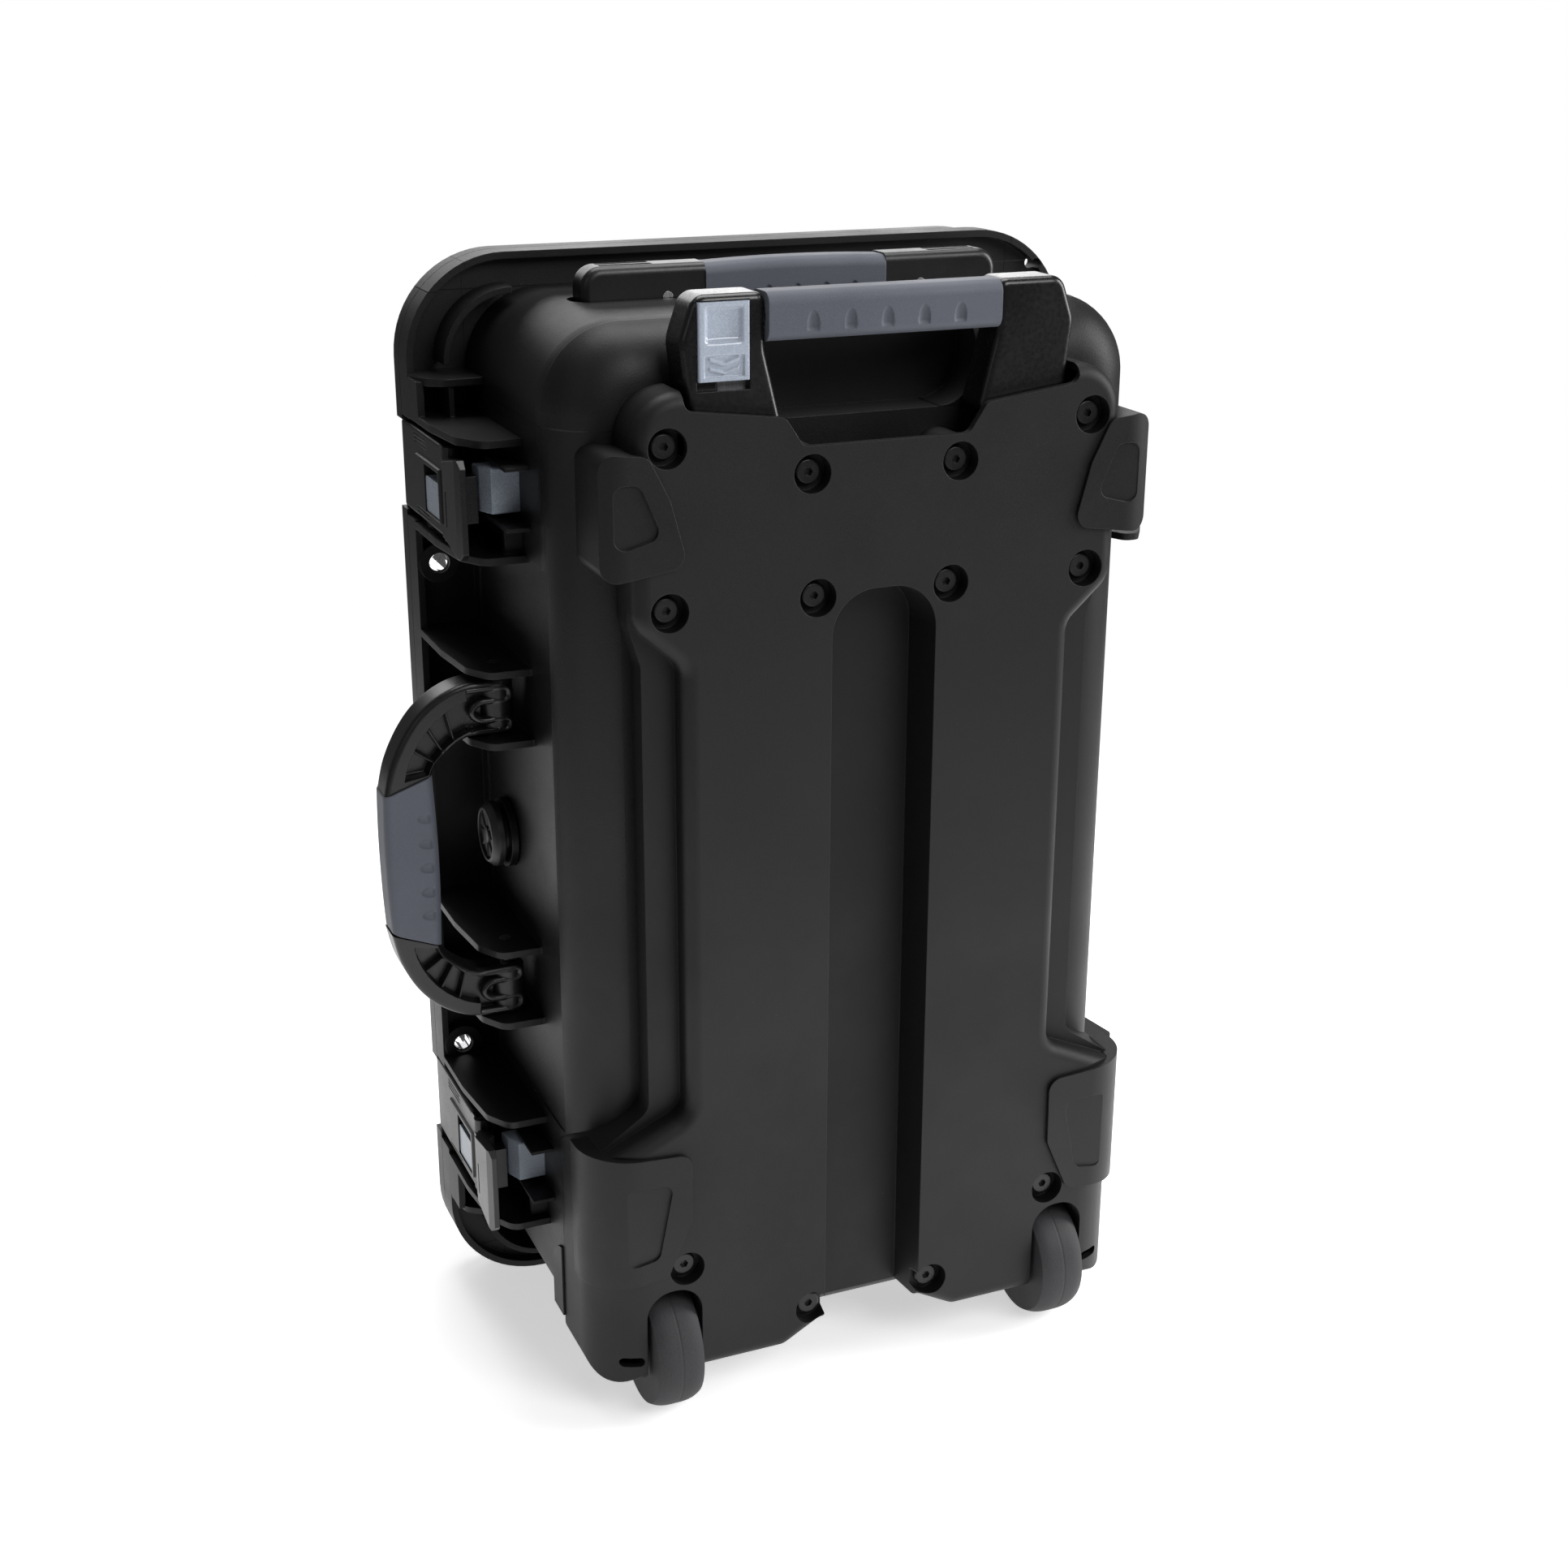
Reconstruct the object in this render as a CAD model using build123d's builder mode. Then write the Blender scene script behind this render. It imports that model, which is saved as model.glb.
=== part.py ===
"""Wheeled hard case with two latches, a side handle, a top handle and a two-stage pull handle.

Millimetres, +Z up.  The case stands on its wheels and on the lower edge of its rim (Z = 0).  X = 0 is the
middle of its width and Y = 0 the middle of its depth.  The tub and the pull handle face -Y, the lid faces
+Y, the latches and the side handle are on -X and the lid's hinge is on +X.
"""

import os

from build123d import *

# ---- driving dimensions --------------------------------------------------------------------------------
CASE_HEIGHT = 559.0          # over the rim
CASE_DEPTH = 228.6           # lid face to trolley cover face
RIM_HALF_WIDTH = 178.0       # latch side, and the hinge knuckles
RIM_CORNER = 50.0
TUB_WIDTH = 295.0
TUB_END_GAP = 17.5           # tub's end wall to the rim's end
TUB_CORNER = 38.0
TUB_EDGE = 28.0
WALL = 4.0
SIDE_RECESS = 0.8            # middle of each side wall below its two ends
PARTING_Y = 62.0             # plane between tub and lid
PARTING_GAP = 0.4            # between the two rims
BASE_FLANGE = 8.0
LID_FLANGE = 10.0
SKIRT = 3.5
SKIRT_DEPTH = 7.0
COVER_DEPTH = 26.3           # trolley cover face to the tub's back wall
COVER_WALL = 3.5
FIT = 0.05                   # radial clearance of a pin in its bore
GAP = 0.4                    # between bodies that move past each other

# hinge
HINGE_X = 172.0
KNUCKLE_R = 6.0
HINGE_PIN_R = 2.5
HINGE_SPREAD = 125.0         # hinge centres above and below the case's middle
LID_KNUCKLE = 49.2
END_KNUCKLE = 20.0

# side ribs on the latch side, measured from the case's middle
FIN = 3.5
FIN_OFFSETS = (-199.5, -141.0, -85.8, -47.5, 60.5, 95.7, 150.4, 204.8)
LATCH_OFFSETS = (177.6, -170.3)

# latch
LATCH_WIDTH = 46.0
LATCH_AXIS_X = -172.0
LATCH_BARREL_R = 4.6
LATCH_PIN_R = 2.0
LATCH_PLATE = 5.0
LEVER_AXIS_X = -174.0
LEVER_AXIS_Y = -10.0
LEVER_BARREL_R = 4.0
LEVER_PIN_R = 1.5
SLIDER_TRAVEL = 5.0
NOTCH_MARGIN = 2.0           # rim notch beyond the latch at each end

# side handle
SIDE_AXIS_X = -160.0
SIDE_AXIS_Y = -19.0
SIDE_PIN_R = 3.0
SIDE_REACH = 58.0            # pivot to the outside of the grip
SIDE_GRIP_LENGTH = 76.0
SIDE_GRIP_WIDTH = 28.0
SIDE_THICKNESS = 18.0
SIDE_CENTRE = 4.95           # middle of the handle above the case's middle

# top handle
TOP_LENGTH = 216.0
TOP_HEIGHT = 24.0
TOP_THICKNESS = 18.0
TOP_Y = -2.0
TOP_GRIP_LENGTH = 94.0
TOP_POST_X = 66.0
TOP_POST_WIDTH = 16.0
TOP_POST_DEPTH = 9.0
TOP_PIN_R = 2.5

# pull handle
TUBE_X = 70.0
TUBE_WALL = 1.2
TUBE_OUTER = (26.0, 17.0)
TUBE_PLAY = 0.45             # each side, between one tube and the next
TUBE_BOTTOM = 32.0
BUSH_PLAY = 0.3
BUSH_HEIGHT = 9.5
GRIP_LENGTH = 114.0
GRIP_HEIGHT = 21.5
GRIP_DEPTH = 20.0
LEG_DEPTH = 18.6
LEG_OUTER_X = 97.0
ROD_R = 2.5
BUTTON_TRAVEL = 4.0

# wheels
WHEEL_X = 108.0
WHEEL_R = 33.0
WHEEL_WIDTH = 24.0
WHEEL_Y = -93.0
AXLE_R = 4.0
BEARING_R = 11.0
BEARING_WIDTH = 7.0
WELL_GAP = 2.5
ARCH_TOP = 73.0
WELL_DEPTH = 37.0

# screws
SCREW_HEAD_R = 6.0
SCREW_HEAD = 3.2
SCREW_SHANK_R = 2.4
SCREW_WELL_R = 9.0
SCREW_SINK = 5.0
SCREW_BOSS = 7.0
SCREW_PLACES = ((105.4, 492.4), (105.3, 419.0), (101.1, 84.0), (36.9, 476.0), (33.7, 418.7), (33.6, 44.6))

# padlock eyes, valve
EYE_X = -167.0
EYE_OFFSETS = (130.5, -133.2)
EYE_R = 4.6
EYE_BUSH_R = 6.2
EYE_BOSS_R = 10.0
VALVE_Y = 10.0
VALVE_OFFSET = -1.5
VALVE_STEM_R = 9.0

# ---- derived places ------------------------------------------------------------------------------------
ZC = CASE_HEIGHT / 2
LID_FACE_Y = CASE_DEPTH / 2
COVER_FACE_Y = -CASE_DEPTH / 2
TUB_BACK_Y = COVER_FACE_Y + COVER_DEPTH
TUB_TOP_Y = PARTING_Y - PARTING_GAP / 2
LID_LOW_Y = PARTING_Y + PARTING_GAP / 2
TUB_HEIGHT = CASE_HEIGHT - 2 * TUB_END_GAP
SIDE_X = TUB_WIDTH / 2
TUB_TOP_Z = CASE_HEIGHT - TUB_END_GAP
HINGE_FLANGE_X = HINGE_X - KNUCKLE_R - 0.5
RIM_FOOT_X = RIM_HALF_WIDTH - RIM_CORNER
TUBE_Y = (COVER_FACE_Y + COVER_WALL + TUB_BACK_Y) / 2
NOTCH_X = -165.0
LEG_BOTTOM = 495.3
FIN_Z = [ZC + offset for offset in FIN_OFFSETS]
LATCH_Z = [ZC + offset for offset in LATCH_OFFSETS]
SIDE_ZC = ZC + SIDE_CENTRE
os.makedirs("parts", exist_ok=True)


def at_y(y):
    """XZ sketch plane at depth y; a positive extrusion goes towards -Y."""
    return Plane.XZ.offset(-y)


def at_x(x):
    """YZ sketch plane at x; a positive extrusion goes towards +X."""
    return Plane.YZ.offset(x)


def at_z(z):
    """XY sketch plane at height z."""
    return Plane.XY.offset(z)


def finish(builder, name):
    """Label one finished piece and write its STEP file."""
    builder.part.label = name
    export_step(builder.part, f"parts/{name}.step")


def slab(width, height, corner, y_high, y_low, x=0.0, z=ZC):
    """Rounded rectangle in XZ, from y_high down to y_low."""
    with BuildSketch(at_y(y_high)) as profile:
        with Locations((x, z)):
            RectangleRounded(width, height, corner)
    extrude(profile.sketch, amount=y_high - y_low)


def cylinder_y(x, z, radius, y_high, y_low, mode=Mode.ADD):
    """Cylinder along Y."""
    with BuildSketch(at_y(y_high)) as profile:
        with Locations((x, z)):
            Circle(radius)
    extrude(profile.sketch, amount=y_high - y_low, mode=mode)


def cylinder_z(x, y, radius, z_low, z_high, mode=Mode.ADD):
    """Cylinder along Z."""
    with BuildSketch(at_z(z_low)) as profile:
        with Locations((x, y)):
            Circle(radius)
    extrude(profile.sketch, amount=z_high - z_low, mode=mode)


def cylinder_x(y, z, radius, x_low, x_high, mode=Mode.ADD):
    """Cylinder along X."""
    with BuildSketch(at_x(x_low)) as profile:
        with Locations((y, z)):
            Circle(radius)
    extrude(profile.sketch, amount=x_high - x_low, mode=mode)


def block(x_low, x_high, y_low, y_high, z_low, z_high, mode=Mode.ADD):
    """Rectangular block between two corners."""
    with Locations(((x_low + x_high) / 2, (y_low + y_high) / 2, (z_low + z_high) / 2)):
        Box(x_high - x_low, y_high - y_low, z_high - z_low, mode=mode)


def rim_outline(right_x, ears, grow=0.0):
    """Rim seen from the back: latch side straight, hinge side set in between its two ears."""
    left = -RIM_HALF_WIDTH - grow
    ear = RIM_HALF_WIDTH + grow if ears else right_x
    top = CASE_HEIGHT + grow
    with Locations(((left + ear) / 2, ZC)):
        RectangleRounded(ear - left, 2 * (top - ZC), RIM_CORNER + grow)
    if ears:
        ear_height = 58.0
        cut_height = CASE_HEIGHT - 2 * ear_height
        with Locations((ear, ZC)):
            Rectangle(2 * (ear - right_x), cut_height, mode=Mode.SUBTRACT)


# ---- tub envelope, used to trim what lies against it ---------------------------------------------------
with BuildPart() as tub_outer:
    slab(TUB_WIDTH, TUB_HEIGHT, TUB_CORNER, PARTING_Y - BASE_FLANGE, TUB_BACK_Y)
    fillet(tub_outer.faces().sort_by(Axis.Y)[0].edges(), TUB_EDGE)


# the tub's cavity, with the same wall all round
with BuildPart() as tub_inner:
    slab(TUB_WIDTH - 2 * WALL, TUB_HEIGHT - 2 * WALL, TUB_CORNER - WALL, PARTING_Y + 1, TUB_BACK_Y + WALL)
    fillet(tub_inner.faces().sort_by(Axis.Y)[0].edges(), TUB_EDGE - WALL)


def wheel_arch(x_low, x_high, top, y_high, y_low, mode=Mode.ADD):
    """Wheel well with a rounded top, open downwards."""
    radius = (x_high - x_low) / 2 - 1.0
    with BuildSketch(at_y(y_high)) as profile:
        with BuildLine():
            FilletPolyline((x_low, -9), (x_low, top), (x_high, top), (x_high, -9), radius=radius)
            Line((x_high, -9), (x_low, -9))
        make_face()
    extrude(profile.sketch, amount=y_high - y_low, mode=mode)


WELL_LOW_X = WHEEL_X - WHEEL_WIDTH / 2 - WELL_GAP
WELL_HIGH_X = WHEEL_X + WHEEL_WIDTH / 2 + WELL_GAP
WELL_INNER_Y = WHEEL_Y + WELL_DEPTH


def fin_profile(front_y, shoulder_y):
    """Latch-side rib seen from above: square at the wall, rounded outwards, out to the rim."""
    wall_x = -SIDE_X + 1.0
    with BuildLine() as border:
        FilletPolyline(
            (wall_x, front_y),
            (-167.0, front_y),
            (-175.0, shoulder_y),
            (-RIM_HALF_WIDTH, min(shoulder_y + 34.0, PARTING_Y - BASE_FLANGE - 6.0)),
            (-RIM_HALF_WIDTH, PARTING_Y - BASE_FLANGE + 1.0),
            radius=8.0,
        )
        Polyline(
            (-RIM_HALF_WIDTH, PARTING_Y - BASE_FLANGE + 1.0),
            (wall_x, PARTING_Y - BASE_FLANGE + 1.0),
            (wall_x, front_y),
        )
    make_face(border.edges())


def latch_notch(y_low, y_high, x_inner, half_width):
    """Opening in a rim that each latch passes through."""
    for z in LATCH_Z:
        block(-RIM_HALF_WIDTH - 5, x_inner, y_low, y_high, z - half_width, z + half_width, Mode.SUBTRACT)


GUSSET_FOOT_Y = -47.0

# ---- base shell ----------------------------------------------------------------------------------------
POCKET_HALF = TOP_LENGTH / 2 + 4.0
POCKET_FLOOR = CASE_HEIGHT - 2.0 - TOP_HEIGHT - 2.5
SOCKET_DEPTH = 36.0
SCOOP_Y = TUB_BACK_Y + 22.0
SCOOP_HALF = GRIP_LENGTH / 2 + 1

# what stands into the cavity: wheel wells, screw bosses, the top handle's pocket and sockets, the hand scoop
with BuildPart() as inner_works:
    for side in (-1, 1):
        well = sorted((side * (WELL_LOW_X - 3.0), side * (WELL_HIGH_X + 3.0)))
        block(*well, TUB_BACK_Y, WELL_INNER_Y + 3.0, TUB_END_GAP, ARCH_TOP + 3.0)
        for x, z in SCREW_PLACES:
            cylinder_y(side * x, z, SCREW_BOSS, TUB_BACK_Y + WALL + SCREW_BOSS, TUB_BACK_Y + 1.0)
        half_w = TOP_POST_WIDTH / 2 + GAP + 3
        half_d = TOP_POST_DEPTH / 2 + GAP + 3
        block(
            side * TOP_POST_X - half_w, side * TOP_POST_X + half_w, TOP_Y - half_d, TOP_Y + half_d,
            POCKET_FLOOR - SOCKET_DEPTH - 3, POCKET_FLOOR - 1,
        )
    block(
        -POCKET_HALF - 3, POCKET_HALF + 3, TOP_Y - 14.0, TOP_Y + 14.0, POCKET_FLOOR - 3, TUB_TOP_Z - 1
    )
    slab(GRIP_LENGTH + 8, 60, 20, SCOOP_Y + 3, TUB_BACK_Y, z=TUB_TOP_Z - 29)
    add(tub_outer.part, mode=Mode.INTERSECT)

with BuildPart() as tub_moulding:
    add(tub_outer.part)
    # rim flange and its turned-down skirt
    with BuildSketch(at_y(TUB_TOP_Y)):
        rim_outline(HINGE_FLANGE_X, True)
    extrude(amount=BASE_FLANGE - PARTING_GAP / 2)
    with BuildSketch(at_y(PARTING_Y - BASE_FLANGE + 1.0)):
        rim_outline(HINGE_FLANGE_X, True)
        offset(amount=-SKIRT, mode=Mode.SUBTRACT)
    extrude(amount=SKIRT_DEPTH + 1.0)
    # the side walls are a little lower between the two end zones
    for x_low, x_high in ((-SIDE_X - 1, -SIDE_X + SIDE_RECESS), (SIDE_X - SIDE_RECESS, SIDE_X + 1)):
        block(x_low, x_high, -100.0, 44.0, ZC - 134.0, ZC + 151.0, Mode.SUBTRACT)
    # cavity
    add(tub_inner.part, mode=Mode.SUBTRACT)
    add(inner_works.part)
    for side in (-1, 1):
        wheel_arch(
            *sorted((side * WELL_LOW_X, side * WELL_HIGH_X)), ARCH_TOP, WELL_INNER_Y, COVER_FACE_Y,
            mode=Mode.SUBTRACT,
        )
    # the top handle's pocket and post sockets
    with BuildSketch(at_z(POCKET_FLOOR)):
        with Locations((0, TOP_Y)):
            RectangleRounded(2 * POCKET_HALF, 22.0, 10.0)
    extrude(amount=40, mode=Mode.SUBTRACT)
    with BuildSketch(at_z(POCKET_FLOOR - SOCKET_DEPTH)):
        with Locations((TOP_POST_X, TOP_Y), (-TOP_POST_X, TOP_Y)):
            Rectangle(TOP_POST_WIDTH + 2 * GAP, TOP_POST_DEPTH + 2 * GAP)
    extrude(amount=SOCKET_DEPTH + 1, mode=Mode.SUBTRACT)
    # hand scoop behind the pull handle's grip
    with BuildSketch(at_y(SCOOP_Y)):
        with Locations((0, TUB_TOP_Z - 5.0)):
            RectangleRounded(2 * SCOOP_HALF, 80, 20)
    extrude(amount=80, mode=Mode.SUBTRACT)
    # ribs on the latch side
    for z in FIN_Z:
        with BuildSketch(at_z(z - FIN / 2)):
            fin_profile(-38.0, -24.0)
        extrude(amount=FIN)
    for z in (ZC + 223.0, ZC - 223.0):
        with BuildSketch(at_z(z - FIN / 2)):
            fin_profile(22.0, 28.0)
        extrude(amount=FIN)
    # uprights that close the small bays next to the rim corners
    for z_low, z_high in ((ZC + 204.8, ZC + 223.0), (ZC - 223.0, ZC - 199.5)):
        block(-RIM_HALF_WIDTH, -RIM_HALF_WIDTH + SKIRT, 30.0, PARTING_Y - BASE_FLANGE + 1, z_low, z_high)
        block(-164.0, -161.5, 24.0, PARTING_Y - BASE_FLANGE + 1, z_low, z_high)
    # curved ribs inside the rim's latch-side corners
    for z_sign in (-1, 1):
        corner_z = ZC + z_sign * (ZC - RIM_CORNER)
        with BuildSketch(at_y(PARTING_Y - BASE_FLANGE + 1)):
            with Locations((-RIM_FOOT_X, corner_z)):
                Circle(RIM_CORNER - 15.0)
                Circle(RIM_CORNER - 18.0, mode=Mode.SUBTRACT)
            with Locations((-RIM_FOOT_X + 100, corner_z), (-RIM_FOOT_X, corner_z - z_sign * 100)):
                Rectangle(200, 200, mode=Mode.SUBTRACT)
        extrude(amount=20.0)
    # gussets on the hinge side
    for z in (ZC + 137.5, ZC - 152.5):
        with BuildSketch(at_z(z - FIN / 2)):
            with BuildLine():
                FilletPolyline(
                    (SIDE_X + 5, GUSSET_FOOT_Y), (SIDE_X + 12, -62.0), (RIM_HALF_WIDTH - 11, -62.0),
                    (RIM_HALF_WIDTH, -46.0), (HINGE_FLANGE_X, 40.0), radius=5.0,
                )
                Polyline(
                    (HINGE_FLANGE_X, 40.0), (HINGE_FLANGE_X, 55.0), (SIDE_X - 1, 55.0),
                    (SIDE_X - 1, GUSSET_FOOT_Y), (SIDE_X + 5, GUSSET_FOOT_Y),
                )
            make_face()
        extrude(amount=FIN)
    # hinge knuckles
    for sign in (-1, 1):
        centre = ZC + sign * HINGE_SPREAD
        for low in (centre - LID_KNUCKLE / 2 - GAP - END_KNUCKLE, centre + LID_KNUCKLE / 2 + GAP):
            block(SIDE_X + 6, HINGE_X, PARTING_Y - KNUCKLE_R, TUB_TOP_Y, low, low + END_KNUCKLE)
            cylinder_z(HINGE_X, PARTING_Y, KNUCKLE_R, low, low + END_KNUCKLE)
        cylinder_z(
            HINGE_X, PARTING_Y, HINGE_PIN_R + FIT, centre - 60, centre + 60, mode=Mode.SUBTRACT
        )
    # shelves above and below each keeper
    for z in LATCH_Z:
        for shelf in (z - 11.0, z + 17.0):
            block(-159.0, -SIDE_X + 1, -48.0, -14.0, shelf - 0.8, shelf + 0.8)
        block(-156.0, -SIDE_X + 1, -33.0, -30.0, z - 27.0, z - 11.0)
    latch_notch(
        PARTING_Y - BASE_FLANGE - SKIRT_DEPTH - 1, PARTING_Y + 1, NOTCH_X, LATCH_WIDTH / 2 + NOTCH_MARGIN
    )
    # padlock eyes
    for offset_z in EYE_OFFSETS:
        cylinder_y(EYE_X, ZC + offset_z, EYE_BOSS_R, TUB_TOP_Y, PARTING_Y - 16.0)
        block(
            -RIM_HALF_WIDTH - 5, -RIM_HALF_WIDTH, 0, PARTING_Y + 5, ZC + offset_z - 20, ZC + offset_z + 20,
            Mode.SUBTRACT,
        )
        cylinder_y(EYE_X, ZC + offset_z, EYE_BUSH_R, PARTING_Y + 1, PARTING_Y - 13.0, Mode.SUBTRACT)
        cylinder_y(EYE_X, ZC + offset_z, EYE_R + 0.6, PARTING_Y + 1, PARTING_Y - 20.0, Mode.SUBTRACT)
    # hole in the hinge-side rim corner
    for z in (CASE_HEIGHT - 19.0, 19.0):
        cylinder_y(163.0, z, 3.0, PARTING_Y + 1, PARTING_Y - 20, Mode.SUBTRACT)
    # side handle pin holes
    for low, high in ((FIN_Z[2] - 4, FIN_Z[3] + 4), (FIN_Z[4] - 4, FIN_Z[5] + 4)):
        cylinder_z(SIDE_AXIS_X, SIDE_AXIS_Y, SIDE_PIN_R, low, high, Mode.SUBTRACT)
    # valve hole, screw holes
    cylinder_x(VALVE_Y, ZC + VALVE_OFFSET, VALVE_STEM_R + FIT, -SIDE_X - 5, -SIDE_X + 10, Mode.SUBTRACT)
    for x, z in SCREW_PLACES:
        for side in (-1, 1):
            cylinder_y(
                side * x, z, SCREW_SHANK_R + FIT, TUB_BACK_Y + WALL + SCREW_BOSS - 2, TUB_BACK_Y - 5,
                Mode.SUBTRACT,
            )


def saw(x_cuts, y_cuts, z_cuts):
    """Saw the moulding under construction into plain blocks that meet face to face."""
    for x in x_cuts:
        split(bisect_by=Plane.YZ.offset(x), keep=Keep.BOTH)
    for y in y_cuts:
        split(bisect_by=Plane.XZ.offset(-y), keep=Keep.BOTH)
    for z in z_cuts:
        split(bisect_by=Plane.XY.offset(z), keep=Keep.BOTH)


# where the rim ends and the ribs begin
with BuildPart() as rim_zone:
    block(-200.0, 200.0, PARTING_Y - BASE_FLANGE, PARTING_Y + 2 * KNUCKLE_R, -10.0, CASE_HEIGHT + 10)
    with BuildSketch(at_y(PARTING_Y - BASE_FLANGE)):
        rim_outline(HINGE_FLANGE_X, True)
        offset(amount=-SKIRT, mode=Mode.SUBTRACT)
    extrude(amount=SKIRT_DEPTH)
    for offset_z in EYE_OFFSETS:
        cylinder_y(EYE_X, ZC + offset_z, EYE_BOSS_R, PARTING_Y - BASE_FLANGE, PARTING_Y - 16.0)

with BuildPart() as base_shell:
    add(tub_moulding.part)
    add(tub_outer.part, mode=Mode.INTERSECT)
    saw((-SCOOP_HALF, SCOOP_HALF), (SCOOP_Y,), (ARCH_TOP + 4.0, TUB_TOP_Z - 45.0))
finish(base_shell, "base_shell")

with BuildPart() as tub_rim:
    add(tub_moulding.part)
    add(rim_zone.part, mode=Mode.INTERSECT)
    add(tub_outer.part, mode=Mode.SUBTRACT)
    saw((-SIDE_X, SIDE_X), (), (TUB_TOP_Z - TUB_HEIGHT, TUB_TOP_Z))
finish(tub_rim, "tub_rim")

with BuildPart() as side_ribs:
    add(tub_moulding.part)
    add(tub_outer.part, mode=Mode.SUBTRACT)
    add(rim_zone.part, mode=Mode.SUBTRACT)
finish(side_ribs, "side_ribs")

# ---- hinge pins ----------------------------------------------------------------------------------------
with BuildPart() as hinge_pins:
    for sign in (-1, 1):
        centre = ZC + sign * HINGE_SPREAD
        cylinder_z(HINGE_X, PARTING_Y, HINGE_PIN_R, centre - 46, centre + 46)
finish(hinge_pins, "hinge_pins")

# ---- lid -----------------------------------------------------------------------------------------------
SEAL_WIDTH = 5.0
SEAL_DEPTH = 4.0
SEAL_X = SIDE_X + 4.5

LID_EDGE = 15.0
PANEL_DEPTH = 1.4

with BuildPart() as lid_inner:
    slab(TUB_WIDTH - 2 * WALL, TUB_HEIGHT - 2 * WALL, TUB_CORNER - WALL, LID_FACE_Y - WALL, PARTING_Y - 1)
    fillet(lid_inner.faces().sort_by(Axis.Y)[-1].edges(), LID_EDGE - WALL)

with BuildPart() as lid_outer:
    slab(TUB_WIDTH, TUB_HEIGHT, TUB_CORNER, LID_FACE_Y, LID_LOW_Y + 2)
    fillet(lid_outer.faces().sort_by(Axis.Y)[-1].edges(), LID_EDGE)

with BuildPart() as lid_moulding:
    add(lid_outer.part)
    with BuildSketch(at_y(LID_LOW_Y + LID_FLANGE)):
        rim_outline(HINGE_FLANGE_X, False)
    extrude(amount=LID_FLANGE)
    add(lid_inner.part, mode=Mode.SUBTRACT)
    # sunken panel on the outside, with two long raised runners
    with BuildSketch(at_y(LID_FACE_Y + 1)):
        with Locations((0, ZC)):
            RectangleRounded(TUB_WIDTH - 70, TUB_HEIGHT - 90, 24)
    extrude(amount=1 + PANEL_DEPTH, mode=Mode.SUBTRACT)
    with BuildSketch(at_y(LID_FACE_Y)):
        with Locations((-62, ZC), (62, ZC)):
            RectangleRounded(26, TUB_HEIGHT - 150, 10)
    extrude(amount=2 * PANEL_DEPTH)
    # hinge knuckles
    for sign in (-1, 1):
        centre = ZC + sign * HINGE_SPREAD
        low, high = centre - LID_KNUCKLE / 2, centre + LID_KNUCKLE / 2
        block(SIDE_X + 6, HINGE_X, LID_LOW_Y, PARTING_Y + KNUCKLE_R, low, high)
        cylinder_z(HINGE_X, PARTING_Y, KNUCKLE_R, low, high)
        cylinder_z(HINGE_X, PARTING_Y, HINGE_PIN_R + FIT, low - 5, high + 5, Mode.SUBTRACT)
    # seal groove
    with BuildSketch(at_y(LID_LOW_Y + SEAL_DEPTH)):
        with Locations((0, ZC)):
            RectangleRounded(2 * SEAL_X + SEAL_WIDTH, TUB_HEIGHT + 9 + SEAL_WIDTH, TUB_CORNER + 4)
            RectangleRounded(
                2 * SEAL_X - SEAL_WIDTH, TUB_HEIGHT + 9 - SEAL_WIDTH, TUB_CORNER + 4 - SEAL_WIDTH,
                mode=Mode.SUBTRACT,
            )
    extrude(amount=SEAL_DEPTH + 1, mode=Mode.SUBTRACT)
    # latch hinge notches and pin bores
    latch_notch(LID_LOW_Y - 1, LID_LOW_Y + LID_FLANGE + 1, -166.0, LATCH_WIDTH / 2 - 1 + GAP)
    for z in LATCH_Z:
        cylinder_z(LATCH_AXIS_X, LID_LOW_Y + LID_FLANGE / 2, LATCH_PIN_R, z - 26, z + 26, Mode.SUBTRACT)
    for offset_z in EYE_OFFSETS:
        cylinder_y(EYE_X, ZC + offset_z, EYE_BUSH_R, PARTING_Y + 30, PARTING_Y - 5, Mode.SUBTRACT)

with BuildPart() as lid_shell:
    add(lid_moulding.part)
    add(lid_outer.part, mode=Mode.INTERSECT)
finish(lid_shell, "lid_shell")

with BuildPart() as lid_rim:
    add(lid_moulding.part)
    add(lid_outer.part, mode=Mode.SUBTRACT)
    saw((-SIDE_X, SIDE_X), (), (TUB_TOP_Z - TUB_HEIGHT, TUB_TOP_Z))
finish(lid_rim, "lid_rim")

with BuildPart() as lid_seal:
    with BuildSketch(at_y(LID_LOW_Y + SEAL_DEPTH)):
        with Locations((0, ZC)):
            RectangleRounded(2 * SEAL_X + SEAL_WIDTH, TUB_HEIGHT + 9 + SEAL_WIDTH, TUB_CORNER + 4)
            RectangleRounded(
                2 * SEAL_X - SEAL_WIDTH, TUB_HEIGHT + 9 - SEAL_WIDTH, TUB_CORNER + 4 - SEAL_WIDTH,
                mode=Mode.SUBTRACT,
            )
    extrude(amount=SEAL_DEPTH)
finish(lid_seal, "lid_seal")

# ---- trolley cover -------------------------------------------------------------------------------------
COVER_TOP = 516.0
COVER_HALF = 121.0
COVER_BOTTOM = 24.0
LEDGE_X = 115.0
FIELD_X = 99.0
LEDGE_STEP = 13.0
COVER_EDGE = 7.0
COVER_FRONT_Y = TUB_BACK_Y + TUB_EDGE + 2


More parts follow.
